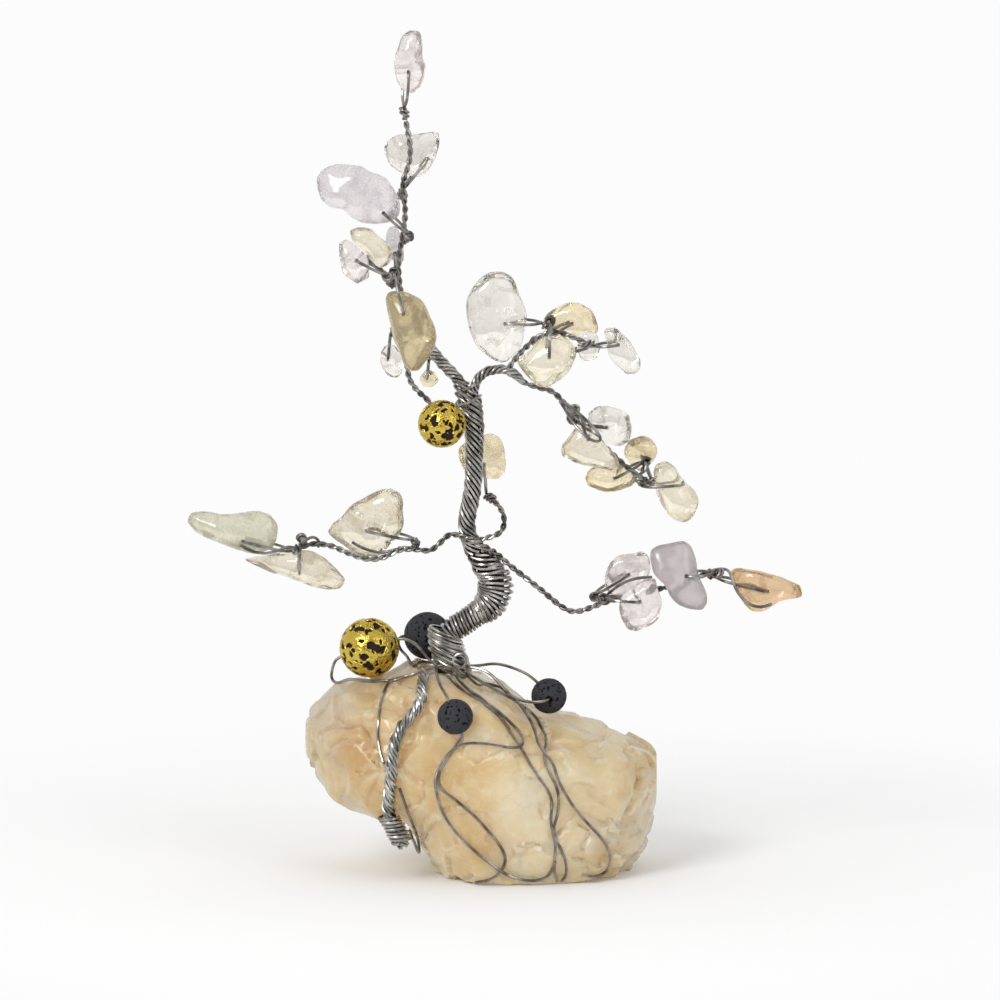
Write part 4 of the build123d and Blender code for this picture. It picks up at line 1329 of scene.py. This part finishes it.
CHIPS = [
    ("chip_rose_tip", Gem.ROSE, 0, 26,
     [(410, 30), (421, 31), (422, 44), (421, 60), (425, 68), (425, 80), (422, 90), (414, 97),
      (405, 94), (399, 86), (395, 74), (394, 60), (398, 47), (402, 37)],
     266, "leader_twist", ((405, 121, -2),)),
    ("chip_clear_upper", Gem.CLEAR, 16, 24,
     [(382, 146), (396, 135), (413, 133), (428, 132), (440, 132), (441, 146), (438, 162),
      (431, 176), (416, 180), (400, 175), (387, 167), (381, 156)],
     232, "upper_twigs", ((404, 200, 4),)),
    ("chip_lavender_large", Gem.LAVENDER, -26, 34,
     [(315, 190), (315, 178), (322, 168), (336, 164), (352, 163), (365, 165), (375, 173),
      (389, 179), (399, 190), (404, 205), (403, 219), (395, 226), (378, 226), (362, 226),
      (350, 220), (341, 212), (329, 208), (319, 200)],
     -42, "upper_twigs", ((409, 240, -14), (404, 243, 2))),
    ("chip_cream", Gem.CREAM, -14, 24,
     [(347, 229), (358, 226), (372, 229), (386, 241), (394, 252), (393, 261), (387, 268),
      (380, 270), (372, 264), (361, 253), (350, 241)],
     -48, "upper_twigs", ((392.5, 284, -8.5),)),
    ("chip_pink_small", Gem.ROSE, -44, 22,
     [(337, 243), (345, 238), (355, 245), (366, 257), (373, 270), (373, 281), (358, 288),
      (351, 281), (343, 273), (338, 259)],
     -28, "upper_twigs", ((388, 280, -34), (393.7, 287.4, -14.8))),
    ("chip_rose_back", Gem.LAVENDER, 28, 20,
     [(388, 228), (396, 226), (402, 235), (406, 246), (406, 261), (400, 267), (391, 262),
      (385, 250), (384, 237)],
     272, "upper_twigs", ((399, 287, 9.7),)),
    ("chip_smoky", Gem.SMOKY, -26, 34,
     [(384, 298), (388, 290), (404, 291), (421, 297), (430, 308), (437, 323), (438, 339),
      (435, 352), (429, 363), (420, 374), (411, 374), (404, 366), (399, 356), (394, 342),
      (389, 326), (385, 311)],
     104, "upper_twigs", ((395, 273, -14), (398, 285, -6))),
    ("chip_clear_low", Gem.CLEAR, 18, 18,
     [(379, 353), (385, 344), (394, 345), (400, 357), (403, 370), (397, 378), (387, 376),
      (380, 366)],
     84, "leader_twigs", ((397, 328, 18), (410.5, 325.5, 14))),
    ("chip_orange_small", Gem.PALE_AMBER, 34, 16,
     [(416, 378), (421, 371), (428, 367), (436, 373), (439, 381), (432, 388), (422, 388)],
     84, "leader_twigs", ((430, 352, 26), (430, 350, 16.5))),
    ("chip_yellow_trunk", Gem.YELLOW, 36, 28,
     [(458, 448), (466, 439), (480, 433), (492, 433), (501, 439), (507, 450), (508, 462),
      (506, 473), (498, 481), (486, 481), (472, 478), (463, 471), (458, 461)],
     274, "trunk_twig", ((493, 500, 30), (502, 510, 22), (505, 522, 14), (501, 534, 8),
                         (480, 540, 4))),
    ("chip_clear_oval", Gem.CLEAR, -22, 30,
     [(463, 303), (468, 288), (478, 278), (491, 271), (504, 270), (513, 277), (520, 291),
      (527, 307), (529, 325), (526, 343), (518, 358), (505, 366), (490, 361), (477, 350),
      (468, 334), (464, 318)],
     -2, "arch_twigs", ((546, 326, -22), (550, 329, -25))),
    ("chip_yellow_pale", Gem.YELLOW, 10, 24,
     [(541, 320), (549, 309), (563, 303), (579, 302), (591, 307), (597, 319), (600, 332),
      (589, 340), (573, 342), (556, 339), (545, 332)],
     208, "arch_twigs", ((534, 342, 1), (541, 338, -11.5))),
    ("chip_cream_angular", Gem.CREAM, -54, 28,
     [(512, 362), (527, 349), (543, 338), (559, 336), (573, 344), (579, 356), (575, 367),
      (562, 378), (549, 389), (536, 387), (525, 376)],
     88, "arch_twigs", ((550, 320, -44), (553, 331, -28))),
    ("chip_clear_small", Gem.CLEAR, -8, 16,
     [(576, 334), (588, 329), (599, 335), (602, 348), (597, 359), (584, 361), (575, 350)],
     196, "arch_twigs", ((562.5, 338, -25),)),
    ("chip_clear_end", Gem.CLEAR, -32, 22,
     [(604, 329), (615, 326), (623, 334), (633, 347), (642, 361), (639, 372), (626, 377),
      (614, 368), (606, 352), (603, 340)],
     186, "arch_twigs", ((578, 340, -32), (560, 332, -28), (542, 334, -18),
                         (526, 347, -8), (513, 362, 0), (507, 371, 0))),
    ("chip_clear_front", Gem.HONEY, -28, 22,
     [(577, 421), (590, 430), (602, 440), (614, 450), (621, 463), (615, 473), (600, 471),
      (585, 468), (571, 462), (561, 455), (561, 445), (568, 433)],
     112, "right_twigs", ((569, 408, -4.8),)),
    ("chip_clear_back", Gem.CLEAR, 24, 24,
     [(586, 413), (596, 405), (609, 406), (622, 409), (630, 412), (632, 426), (631, 442),
      (621, 449), (608, 446), (597, 439), (588, 427)],
     172, "right_twigs", ((569.8, 411.7, 3),)),
    ("chip_yellow_wide", Gem.YELLOW, 18, 22,
     [(584, 478), (588, 468), (600, 463), (615, 461), (629, 466), (640, 477), (634, 486),
      (621, 492), (606, 494), (595, 491), (587, 486)],
     28, "right_twigs", ((649, 460, 10), (640.9, 473.9, -2.1))),
    ("chip_yellow_back", Gem.YELLOW, 48, 20,
     [(630, 437), (642, 433), (652, 436), (657, 447), (655, 459), (649, 469), (640, 474),
      (631, 468), (626, 456), (626, 445)],
     292, "right_twigs", ((654, 484, 38), (653, 485, 9), (642, 477, -4))),
    ("chip_green_end", Gem.CREAM, -8, 24,
     [(652, 471), (656, 463), (666, 460), (675, 466), (685, 478), (696, 491), (701, 505),
      (697, 518), (687, 524), (675, 522), (667, 514), (660, 501), (654, 487)],
     184, "right_twigs", ((640, 477, -5), (625, 466, -3), (606, 448, -2),
                          (590, 432, -2), (575, 414, -2), (563, 402, 0), (553, 391, 0),
                          (540, 388, 0), (526, 384, 0), (516, 377, 0), (508, 372, 0))),
    ("chip_rose_matte", Gem.ROSE, 20, 24,
     [(609, 561), (617, 555), (629, 551), (642, 549), (649, 556), (651, 570), (647, 583),
      (636, 592), (621, 597), (609, 596), (605, 586), (606, 573)],
     212, "lower_twigs", ((597.9, 600.5, 1.3),)),
    ("chip_clear_glossy", Gem.ROSE, -28, 26,
     [(617, 605), (621, 593), (632, 584), (646, 578), (656, 577), (661, 589), (664, 604),
      (661, 620), (651, 629), (637, 634), (626, 631), (619, 620)],
     176, "lower_twigs", ((600.1, 600.9, -5.8),)),
    ("chip_lavender_grey", Gem.GREY, -26, 28,
     [(649, 549), (657, 544), (670, 541), (684, 540), (690, 546), (695, 559), (700, 575),
      (706, 591), (709, 605), (704, 612), (692, 610), (677, 604), (667, 596), (659, 582),
      (652, 568), (648, 558)],
     2, "lower_twigs", ((722, 573, -18), (716, 572, -8))),
    ("chip_amber_end", Gem.AMBER, -4, 26,
     [(730, 568), (741, 565), (757, 569), (773, 575), (790, 580), (804, 584), (805, 597),
      (791, 602), (775, 607), (763, 613), (751, 612), (741, 602), (734, 588), (730, 577)],
     166, "lower_twist", ((708, 572, -2), (690, 582, -2), (655, 590, -2),
                          (620, 598, -2), (600, 604, -2), (580, 612, -2), (566, 611, 0),
                          (545, 593, 0), (526, 578, 0), (509, 565, 0), (498, 554, -3),
                         (486, 547, -13), (470, 541, -13), (462, 538, -4), (461, 536, 6))),
    ("chip_clear_left", Gem.HONEY, 8, 26,
     [(324, 533), (329, 522), (340, 511), (353, 500), (367, 493), (381, 489), (393, 485),
      (401, 490), (407, 502), (406, 519), (401, 536), (393, 549), (380, 558), (364, 560),
      (348, 553), (333, 543)],
     -12, "left_twigs", ((415, 544, 2),)),
    ("chip_green_end_left", Gem.GREEN, -12, 28,
     [(184, 522), (188, 512), (201, 509), (220, 512), (238, 514), (255, 511), (270, 515),
      (280, 525), (282, 541), (277, 551), (258, 554), (238, 551), (221, 545), (205, 539),
      (191, 532)],
     -14, "left_twist", ((297, 549, -10), (312, 543, -6), (330, 545, -10), (348, 553, -16),
                         (366, 560, -18), (384, 558, -14), (400, 549, -6), (416, 549, 0),
                         (430, 552, 0), (440, 543, 0), (449, 534, 0), (457, 535, -6),
                         (468, 538, -15), (482, 544, -14), (491, 551, -6), (494, 556, 4))),
    ("chip_clear_flat", Gem.HONEY, 24, 20,
     [(239, 559), (252, 556), (272, 553), (292, 548), (311, 549), (328, 557), (341, 568),
      (349, 580), (344, 590), (330, 593), (310, 588), (287, 579), (265, 571), (248, 565)],
     88, "left_twigs", ((305, 543.8, -3.1),)),
]


@dataclass
class Branches:
    """The twisted twigs, with the chips that hang on them.

    Attributes:
        tip: places of the leader's twist, in pixels.
        chips: the chips.
        ends: single wires that run over a chip or back to a twist, by CAD node.
    """
    tip: list[Pixels] = field(default_factory=lambda: [
        (405, 303, 6), (400, 290, 5), (398, 262, 4), (403, 235, 4), (406, 215, 4), (404, 195, -2),
        (403, 182, -12), (410, 165, -15), (411, 148, -14), (408, 132, -7), (406, 123, -3),
    ])
    chips: list[Chip] = field(default_factory=lambda: [Chip(*row) for row in CHIPS])
    ends: dict[str, list[list[Pixels]]] = field(default_factory=lambda: {
        "right_twigs": [
            [(560, 400, -4), (567, 404, -18), (577, 412, -38), (590, 424, -48), (600, 436, -51),
             (600, 442, -51), (591, 441, -50), (579, 431, -47), (570, 419, -38), (564, 408, -18),
             (560, 402, 2)],
        ],
        "lower_twist": [
            [(706, 572, -6), (722, 568, -12), (730, 571, -20), (733, 583, -21), (739, 595, -21),
             (748, 604, -21), (760, 608, -21), (772, 604, -20)],
        ],
        "left_twist": [
            [(240, 545, -29), (250, 551, -29), (265, 554, -29), (278, 551, -28), (288, 546, -20),
             (298, 549, -12), (312, 544, -6)],
        ],
        "left_twigs": [
            [(352, 542, -9), (360, 547, -9), (371, 551, -9), (382, 553, -9), (391, 551, -9),
             (400, 547, -6), (413, 548, 0)],
            [(300, 549, -8), (305, 540, -12), (314, 536, -12), (320, 542, -8), (318, 547, -6)],
        ],
        "lower_twigs": [
            [(598, 603, -4), (608, 594, -14), (620, 584, -18), (636, 578, -18), (652, 577, -16)],
        ],
    })

    def build(self) -> None:
        """Makes each chip, and one piece of wires for each CAD node of twigs."""
        groups: dict[str, list[list[Vector]]] = {}
        path = TREE_VIEW.line(self.tip, TWIST_STEP)
        groups["leader_twist"] = laid(path, 2, PAIR_RADIUS, PAIR_LAY, wander=PAIR_WANDER)
        for chip in self.chips:
            chip.build()
            groups.setdefault(chip.twig, []).extend(chip.wires())
        for node, routes in self.ends.items():
            groups[node] += [TREE_VIEW.line(route, TWIST_STEP) for route in routes]
        for node, paths in groups.items():
            stand_in("twisted_" + node, node, paths, Wire.OXIDISED)


# Trunk
@dataclass
class Trunk:
    """The trunk, bound with wire below and twisted above, with its two thick branches.

    Attributes:
        corners: corners of the bound lower trunk, in pixels.
        bends: radius of each of its bends, in pixels.
        upper: places of the twisted upper trunk, in pixels.
        leader: places of the branch that goes on up.
        arch: places of the branch that arches to the right.
        wraps: places of the wraps where the trunk parts in two.
    """
    corners: list[Pixels] = field(default_factory=lambda: [
        (447, 672), (447, 634), (507, 594), (476, 552)])
    bends: tuple[float, float] = (18, 27)
    upper: list[Pixels] = field(default_factory=lambda: [
        (476, 552, 0), (468, 536, 0), (466, 520, 0), (471, 500, 0), (474, 478, 0), (474, 455, 0),
        (475, 430, 0), (472, 405, 0), (469, 392, 0)])
    leader: list[Pixels] = field(default_factory=lambda: [
        (472, 420, 2), (469, 404, 2), (464, 391, 1), (460, 382, 0), (453, 374, 2), (439, 360, 7),
        (426, 342, 9), (415, 322, 8), (406, 304, 6), (403, 297, 5)])
    arch: list[Pixels] = field(default_factory=lambda: [
        (476, 420, 2), (474, 404, 2), (474, 390, 1), (476, 382, 0), (481, 375, 0), (490, 370, 0),
        (506, 369, 0), (516, 375, 0), (524, 383, 0)])
    wraps: list[Pixels] = field(default_factory=lambda: [
        (470, 416, 0), (469, 404, 0), (468, 392, 0), (467, 384, 0)])

    def axis(self) -> list[Vector]:
        """Axis of the bound lower trunk, with its two bends.

        Returns:
            Points in small steps.
        """
        corners = [TREE_VIEW.point(place) for place in self.corners]
        path = [corners[0]]
        for (a, b, c), radius in zip(zip(corners, corners[1:], corners[2:]), self.bends):
            radius *= TREE_VIEW.scale
            back, ahead = (a - b).normalized(), (c - b).normalized()
            half = back.angle(ahead) / 2
            centre = b + (back + ahead).normalized() * (radius / math.sin(half))
            reach = radius / math.tan(half)
            first, last = b + back * reach - centre, b + ahead * reach - centre
            turn = first.angle(last)
            around = first.cross(last).normalized()
            for step in range(BEND_POINTS + 1):
                part = Matrix.Rotation(turn * step / BEND_POINTS, 3, around)
                path.append(centre + part @ first)
        path.append(corners[-1])
        return evenly(path, COIL_STEP)

    def build(self) -> None:
        """Makes the knot, the windings and the ropes, and gives the CAD core a near-black painted
        shade.
        """
        stand_in("knot_wire", "root_knot", self.knot(), Wire.BRIGHT)
        stand_in("binding_wire", "trunk_winding", self.binding(self.axis()), Wire.BRIGHT)
        stand_in("trunk_rope", "trunk_strands", self.rope(), Wire.BRIGHT)
        for name, node, places, count, radius in (
                ("leader_rope", "leader_bundle", self.leader, 6, 0.72 * MM),
                ("arch_rope", "arch_bundle", self.arch, 5, 0.56 * MM)):
            path = TREE_VIEW.line(places, TWIST_STEP)
            radii = [(0, radius), (0.86, radius), (1, 0.28 * MM)]
            outer = laid(path, count, radii, 5.2 * MM, wander=0.09)
            inner = laid(path, 2, 0.2 * MM, 6 * MM)
            stand_in(name, node, outer + inner, Wire.BRIGHT)
        # Painted shade: the core between the strands is near black, so that the gaps read as
        # shadow.
        core = frame["nodes"]["trunk_core"]
        core.data.materials.clear()
        core.data.materials.append(PALETTE.of(Wire.INNER.value))

    def knot(self) -> list[list[Vector]]:
        """Wire wound round and across the foot of the trunk.

        Returns:
            The points of each wire.
        """
        places = ((454, 677), (449, 655), (444, 630))
        line = evenly([TREE_VIEW.point(place) for place in places], COIL_STEP)
        inner = coiled(line, [(0, 1.9 * MM), (0.25, 2.55 * MM), (0.75, 2.6 * MM), (1, 2.1 * MM)],
                       0.60 * MM, unevenness=0.02, tilt=0.6, phase=0.6)
        outer = coiled(line[10:-12], [(0, 2.3 * MM), (0.4, 2.95 * MM), (1, 2.45 * MM)],
                       1.1 * MM, unevenness=0.03, tilt=0.8, phase=2.2)
        # The small eye of wire on the front of the knot.
        eye = TREE_VIEW.point((460, 662, -19))
        around = coiled([eye + Vector((0, 0.13 * MM * step, 0)) for step in range(10)],
                        [(0, 1.25 * MM), (0.5, 0.95 * MM), (1, 1.3 * MM)],
                        0.52 * MM, unevenness=0.08)
        return [inner, outer, around]

    def binding(self, axis: list[Vector]) -> list[list[Vector]]:
        """Wire wound close round the slanting part, and wraps that open out over the bend.

        Args:
            axis: axis of the bound lower trunk.
        Returns:
            The points of each wire.
        """
        count = len(axis)
        close = coiled(axis[int(0.25 * count):int(0.58 * count)], 1.9 * MM, 0.60 * MM,
                       unevenness=0.04, tilt=0.15)
        over = laid(axis[int(0.50 * count):int(0.88 * count)], 5,
                    [(0, 1.9 * MM), (0.22, 2.45 * MM), (0.6, 2.75 * MM), (1, 2.0 * MM)],
                    [(0, 3.1 * MM), (0.6, 3.5 * MM), (1, 5.2 * MM)], phase=0.3, wander=0.05)
        above = laid(axis[int(0.79 * count)::2], 9,
                     [(0, 2.0 * MM), (0.4, 2.15 * MM), (1, 1.5 * MM)],
                     [(0, 7 * MM), (1, 9 * MM)], wander=0.06)
        return [close, *over, *above]

    def rope(self) -> list[list[Vector]]:
        """Strands of the upper trunk, and the wraps where it parts in two.

        Returns:
            The points of each wire.
        """
        path = TREE_VIEW.line(self.upper, LOOP_STEP)
        radii = [(0, 1.5 * MM), (0.12, 1.2 * MM), (0.5, 1.22 * MM), (0.8, 1.42 * MM),
                 (0.94, 1.5 * MM), (1, 1.0 * MM)]
        strands = laid(path, 9, radii, 9 * MM, wander=0.05)
        line = TREE_VIEW.line(self.wraps, COIL_STEP)
        strands.append(coiled(line, [(0, 1.7 * MM), (0.5, 2.1 * MM), (1, 1.5 * MM)],
                              1.3 * MM, unevenness=0.08, tilt=0.75, phase=0.4))
        strands.append(coiled(line[8:], [(0, 1.7 * MM), (0.5, 2.3 * MM), (1, 1.4 * MM)],
                              2.1 * MM, unevenness=0.08, tilt=-0.55, phase=2.4))
        return strands


# Roots
@dataclass
class Roots:
    """The wires on the stone, and the beads threaded on them.

    Attributes:
        face: the stone's front.
        beads: the beads by name.
        rope: places of the thick twisted root over the front of the stone, in pixels.
        coil: both ends of the coil that the rope ends in.
        routes: places of the thin wires, with the beads on them, by CAD node.
        twig: places of the pair of wires that holds the small gold bead.
        rope_radius: radius of the thick root.
    """
    face: StoneFace
    beads: dict[str, Bead]
    rope: Route = field(default_factory=lambda: [
        (424, 668, -22), (421, 682), (421, 706), (407, 717), (396, 733), (392, 751), (391, 768),
        (390, 788), (387, 808)])
    coil: tuple[Pixels, Pixels] = ((389, 819), (404, 847))
    routes: dict[str, list[Route]] = field(default_factory=lambda: {
        "root_wire_gold_bead": [[
            (446, 668, -16), (436, 664, -16), (427, 657, -12), (419, 644, -9),
            "bead_gold_large", (331, 665, -10),
            (328, 677, -20), (335, 684, -30), (346, 676, -36), (363, 680, -42), (382, 684),
            (400, 681), (414, 672), (428, 666, -20), (442, 664, -18),
        ]],
        "root_wire_back_bead": [[
            (449, 655, 21), (460, 644, 34), "bead_black_back", (396, 644, 40), (405, 655, 30),
            (418, 660, 18), (430, 661, 5), (442, 662, 0),
        ]],
        "root_wires_left": [
            [(404, 675), (392, 678), (384, 686), (379, 703), (376, 732), (380, 756), (387, 770)],
            [(399, 788), (406, 808), (413, 826), (418, 842), (419, 860), (414, 846), (409, 832)],
        ],
        "root_wires_middle": [
            [(436, 664, -14), (436, 672), (441, 686), "bead_black_front", (459, 737), (454, 748),
             (444, 762), (437, 776), (440, 789), (458, 801), (480, 820), (497, 840), (508, 857),
             (505, 869), (493, 881), (476, 884)],
            [(452, 668, -16), (462, 683), (481, 695), (501, 711), (516, 725), (526, 737),
             (523, 747), (508, 746), (485, 742), (466, 741), (452, 749), (444, 758), (439, 768),
             (434, 778), (438, 800), (446, 820), (462, 840), (485, 859), (508, 877), (532, 884),
             (551, 879), (557, 862)],
        ],
        "root_wires_right": [
            [(447, 672, -16), (461, 688), (483, 699), (503, 716), (512, 732), (522, 745),
             (532, 765), (547, 785), (555, 801), (551, 820), (558, 843), (555, 871), (559, 886)],
            [(458, 668, -16), (470, 681), (486, 689), (508, 697), (525, 708), (536, 726),
             (540, 746), (556, 762), (558, 777), (571, 801), (586, 820), (602, 836), (613, 852),
             (613, 868), (605, 877), (584, 876)],
            [(462, 668, -12), (480, 679), (500, 690), (520, 702), (539, 719), (550, 738),
             (544, 755), (550, 770), (561, 790), (560, 815), (553, 832), (566, 855), (570, 875),
             (563, 887)],
        ],
        "root_wire_right_bead": [[
            (456, 668, -8), (468, 664, -8), (490, 670, -16), (502, 684, -28), (514, 697, -42),
            (534, 702, -58), "bead_black_right", (545, 688, -4), (532, 674, 0), (516, 667, 4),
            (496, 661, 6), (478, 665, 4), (460, 664, 0),
        ]],
    })
    twig: Route = field(default_factory=lambda: [
        (411, 334, 2), (406, 350, 0), (407, 366, 0), (409, 380, -6), (417, 391, -16)])
    rope_radius: float = 1.1 * MM

    def build(self) -> None:
        """Makes the rope, its coil, the thin wires, the bead's twig and the beads."""
        path = self.face.lay(self.rope, self.rope_radius, self.beads)
        depth = path[-1].y / STONE_VIEW.scale
        top, bottom = (STONE_VIEW.point((*p, depth)) for p in self.coil)
        rope = evenly(rounded([*path[::4], top, bottom]), TWIST_STEP)
        radii = [(0, 0.40 * MM), (0.3, 0.5 * MM), (0.8, 0.62 * MM), (1, 0.6 * MM)]
        strands = []
        for strand in laid(rope, 3, radii, 7 * MM, wander=0.05):
            strands += laid(strand, 3, 0.31 * MM, 6 * MM, wander=PAIR_WANDER)
        line = evenly([top.lerp(bottom, -0.1), top.lerp(bottom, 0.85)], COIL_STEP)
        strands.append(coiled(line, 1.5 * MM, 0.66 * MM, unevenness=0.06, tilt=0.35))
        stand_in("root_rope_wire", "root_rope", strands, Wire.BRIGHT)
        for node, routes in self.routes.items():
            # Every second wire is laid a little higher, so that two wires can cross.
            paths = [self.face.lay(route, WIRE_RADIUS * (1 + 0.9 * (number % 2)), self.beads)
                     for number, route in enumerate(routes)]
            stand_in("laid_" + node, node, paths, Wire.WORN)
        points = [TREE_VIEW.point(p) for p in self.twig]
        bead = self.beads["bead_gold_small"]
        points += bead.threaded(points[-1])[:-1]
        pair = laid(evenly(rounded(points), TWIST_STEP), 2, PAIR_RADIUS, PAIR_LAY)
        stand_in("twisted_bead_twig", "bead_twig", pair, Wire.OXIDISED)
        for bead in self.beads.values():
            bead.build()


# Studio
@dataclass(frozen=True)
class Lamp:
    """A square lamp with soft light.

    Attributes:
        name: its name.
        place: where it stands.
        size: edge of its square.
        power: its power in watts.
    """
    name: str
    place: tuple[float, float, float]
    size: float
    power: float


@dataclass
class Studio:
    """Pale floor, soft light and the camera.

    Attributes:
        distance: from the camera to the point that it looks at.
        aim_pixels: that point in the tree's view.
        width: width of the view at that distance.
        sensor: width of the camera's sensor in millimetres.
        floor_size: edge of the floor.
        lamps: the lamps: one key light from the left and a weak one from the right.
        lamp_aim: the point that the lamps shine at.
    """
    distance: float = 3.0
    aim_pixels: Pixels = (500, 500, 0)
    width: float = 1000 * TREE_VIEW.scale
    sensor: float = 36
    floor_size: float = 6
    lamps: tuple[Lamp, ...] = (Lamp("key", (-0.5, -0.75, 0.6), 0.4, 5.2),
                               Lamp("fill", (0.6, -0.6, 0.4), 0.5, 1.4))
    lamp_aim: tuple[float, float, float] = (0, 0, 0.05)

    def build(self) -> None:
        """Makes the floor, the world, the lamps and the camera."""
        bpy.ops.object.select_all(action="DESELECT")
        bpy.ops.mesh.primitive_plane_add(size=self.floor_size, location=(0, 0, 0))
        floor = bpy.context.object
        floor.name = "floor"
        floor.data.materials.append(self.paper())
        self.light()
        aim = TREE_VIEW.point(self.aim_pixels)
        away = Vector((0, -math.cos(LOOK_DOWN), math.sin(LOOK_DOWN)))
        turn = (-away).to_track_quat("-Z", "Y").to_euler()
        bpy.ops.object.camera_add(location=aim + away * self.distance, rotation=turn)
        camera = bpy.context.object
        camera.name = "camera"
        camera.data.sensor_width = self.sensor
        camera.data.lens = self.sensor * self.distance / self.width
        camera.data.clip_start = 0.1
        bpy.context.scene.camera = camera

    def paper(self) -> bpy.types.Material:
        """White paper that takes the shadow near the stone and turns into the backdrop beyond.

        Returns:
            The material.
        """
        # White paper: a soft shadow under the stone, and no edge of a floor behind it.
        made = new_material("white_paper")
        tree = made.node_tree
        place = add_node(tree, "ShaderNodeTexCoord")
        far = add_node(tree, "ShaderNodeVectorMath", {0: place.outputs["Object"]},
                       operation="LENGTH")
        fade = add_node(tree, "ShaderNodeMapRange",
                        {"Value": far.outputs["Value"], "From Min": 0.05, "From Max": 0.15},
                        interpolation_type="SMOOTHSTEP")
        rays = add_node(tree, "ShaderNodeLightPath")
        share = add_node(tree, "ShaderNodeMath",
                         {0: fade.outputs["Result"], 1: rays.outputs["Is Camera Ray"]},
                         operation="MULTIPLY")
        paper = add_node(tree, "ShaderNodeBsdfDiffuse", {"Color": linear("#f6f6f6")})
        white = add_node(tree, "ShaderNodeEmission", {"Color": linear("#fcfcfc"), "Strength": 1.0})
        mixed = add_node(tree, "ShaderNodeMixShader",
                         {0: share.outputs["Value"], 1: paper.outputs["BSDF"],
                          2: white.outputs["Emission"]})
        add_node(tree, "ShaderNodeOutputMaterial", {"Surface": mixed.outputs["Shader"]})
        return made

    def light(self) -> None:
        """Makes the world and the lamps."""
        world = bpy.data.worlds.new("white_room")
        world.use_nodes = True
        tree = world.node_tree
        tree.nodes.clear()
        place = add_node(tree, "ShaderNodeTexCoord")
        toward_light = add_node(tree, "ShaderNodeVectorMath",
                                {0: place.outputs["Generated"], 1: (-0.15, 0.55, 0.8)},
                                operation="DOT_PRODUCT")
        rays = add_node(tree, "ShaderNodeLightPath")
        darkest = add_node(tree, "ShaderNodeMapRange",
                           {"Value": rays.outputs["Is Transmission Ray"],
                            "To Min": 0.22, "To Max": 0.44})
        brightest = add_node(tree, "ShaderNodeMapRange",
                             {"Value": rays.outputs["Is Transmission Ray"],
                              "To Min": 0.86, "To Max": 1.05})
        room = add_node(tree, "ShaderNodeMapRange",
                        {"Value": toward_light.outputs["Value"], "From Min": -0.35,
                         "From Max": 0.5, "To Min": darkest.outputs["Result"],
                         "To Max": brightest.outputs["Result"]},
                        interpolation_type="SMOOTHSTEP")
        strength = add_node(tree, "ShaderNodeMapRange",
                            {"Value": rays.outputs["Is Camera Ray"],
                             "To Min": room.outputs["Result"]})
        light = add_node(tree, "ShaderNodeBackground",
                         {"Color": linear("#fcfcfc"), "Strength": strength.outputs["Result"]})
        add_node(tree, "ShaderNodeOutputWorld", {"Surface": light.outputs["Background"]})
        bpy.context.scene.world = world
        for lamp in self.lamps:
            way = Vector(self.lamp_aim) - Vector(lamp.place)
            bpy.ops.object.light_add(type="AREA", location=lamp.place,
                                     rotation=way.to_track_quat("-Z", "Y").to_euler())
            made = bpy.context.object
            made.name = lamp.name
            made.data.size = lamp.size
            made.data.energy = lamp.power


def main() -> None:
    """Builds the ornament and its studio."""
    logging.basicConfig(level=logging.INFO, format="%(name)s %(message)s")
    bpy.context.scene.view_settings.view_transform = "Standard"
    # Vector noise starts from the clock unless it has a seed.
    noise.seed_set(NOISE_SEED)
    stone = RoughStone().build()
    beads = {bead.name: bead for bead in (
        Bead("bead_gold_large", 10 * MM, Lava.GOLD, pit_size=1.5 * MM, pit_share=0.42,
             pit_depth=0.5 * MM),
        Bead("bead_gold_small", 8 * MM, Lava.GOLD, pit_size=1.35 * MM, pit_share=0.42,
             pit_depth=0.5 * MM, lead=0.45 * MM),
        Bead("bead_black_back", 8 * MM, Lava.BLACK, pit_size=0.8 * MM),
        Bead("bead_black_front", 6 * MM, Lava.BLACK, pit_size=0.7 * MM),
        Bead("bead_black_right", 6 * MM, Lava.BLACK, pit_size=0.7 * MM),
    )}
    Trunk().build()
    Roots(StoneFace(stone), beads).build()
    Branches().build()
    Studio().build()


if __name__ == "__main__":
    main()
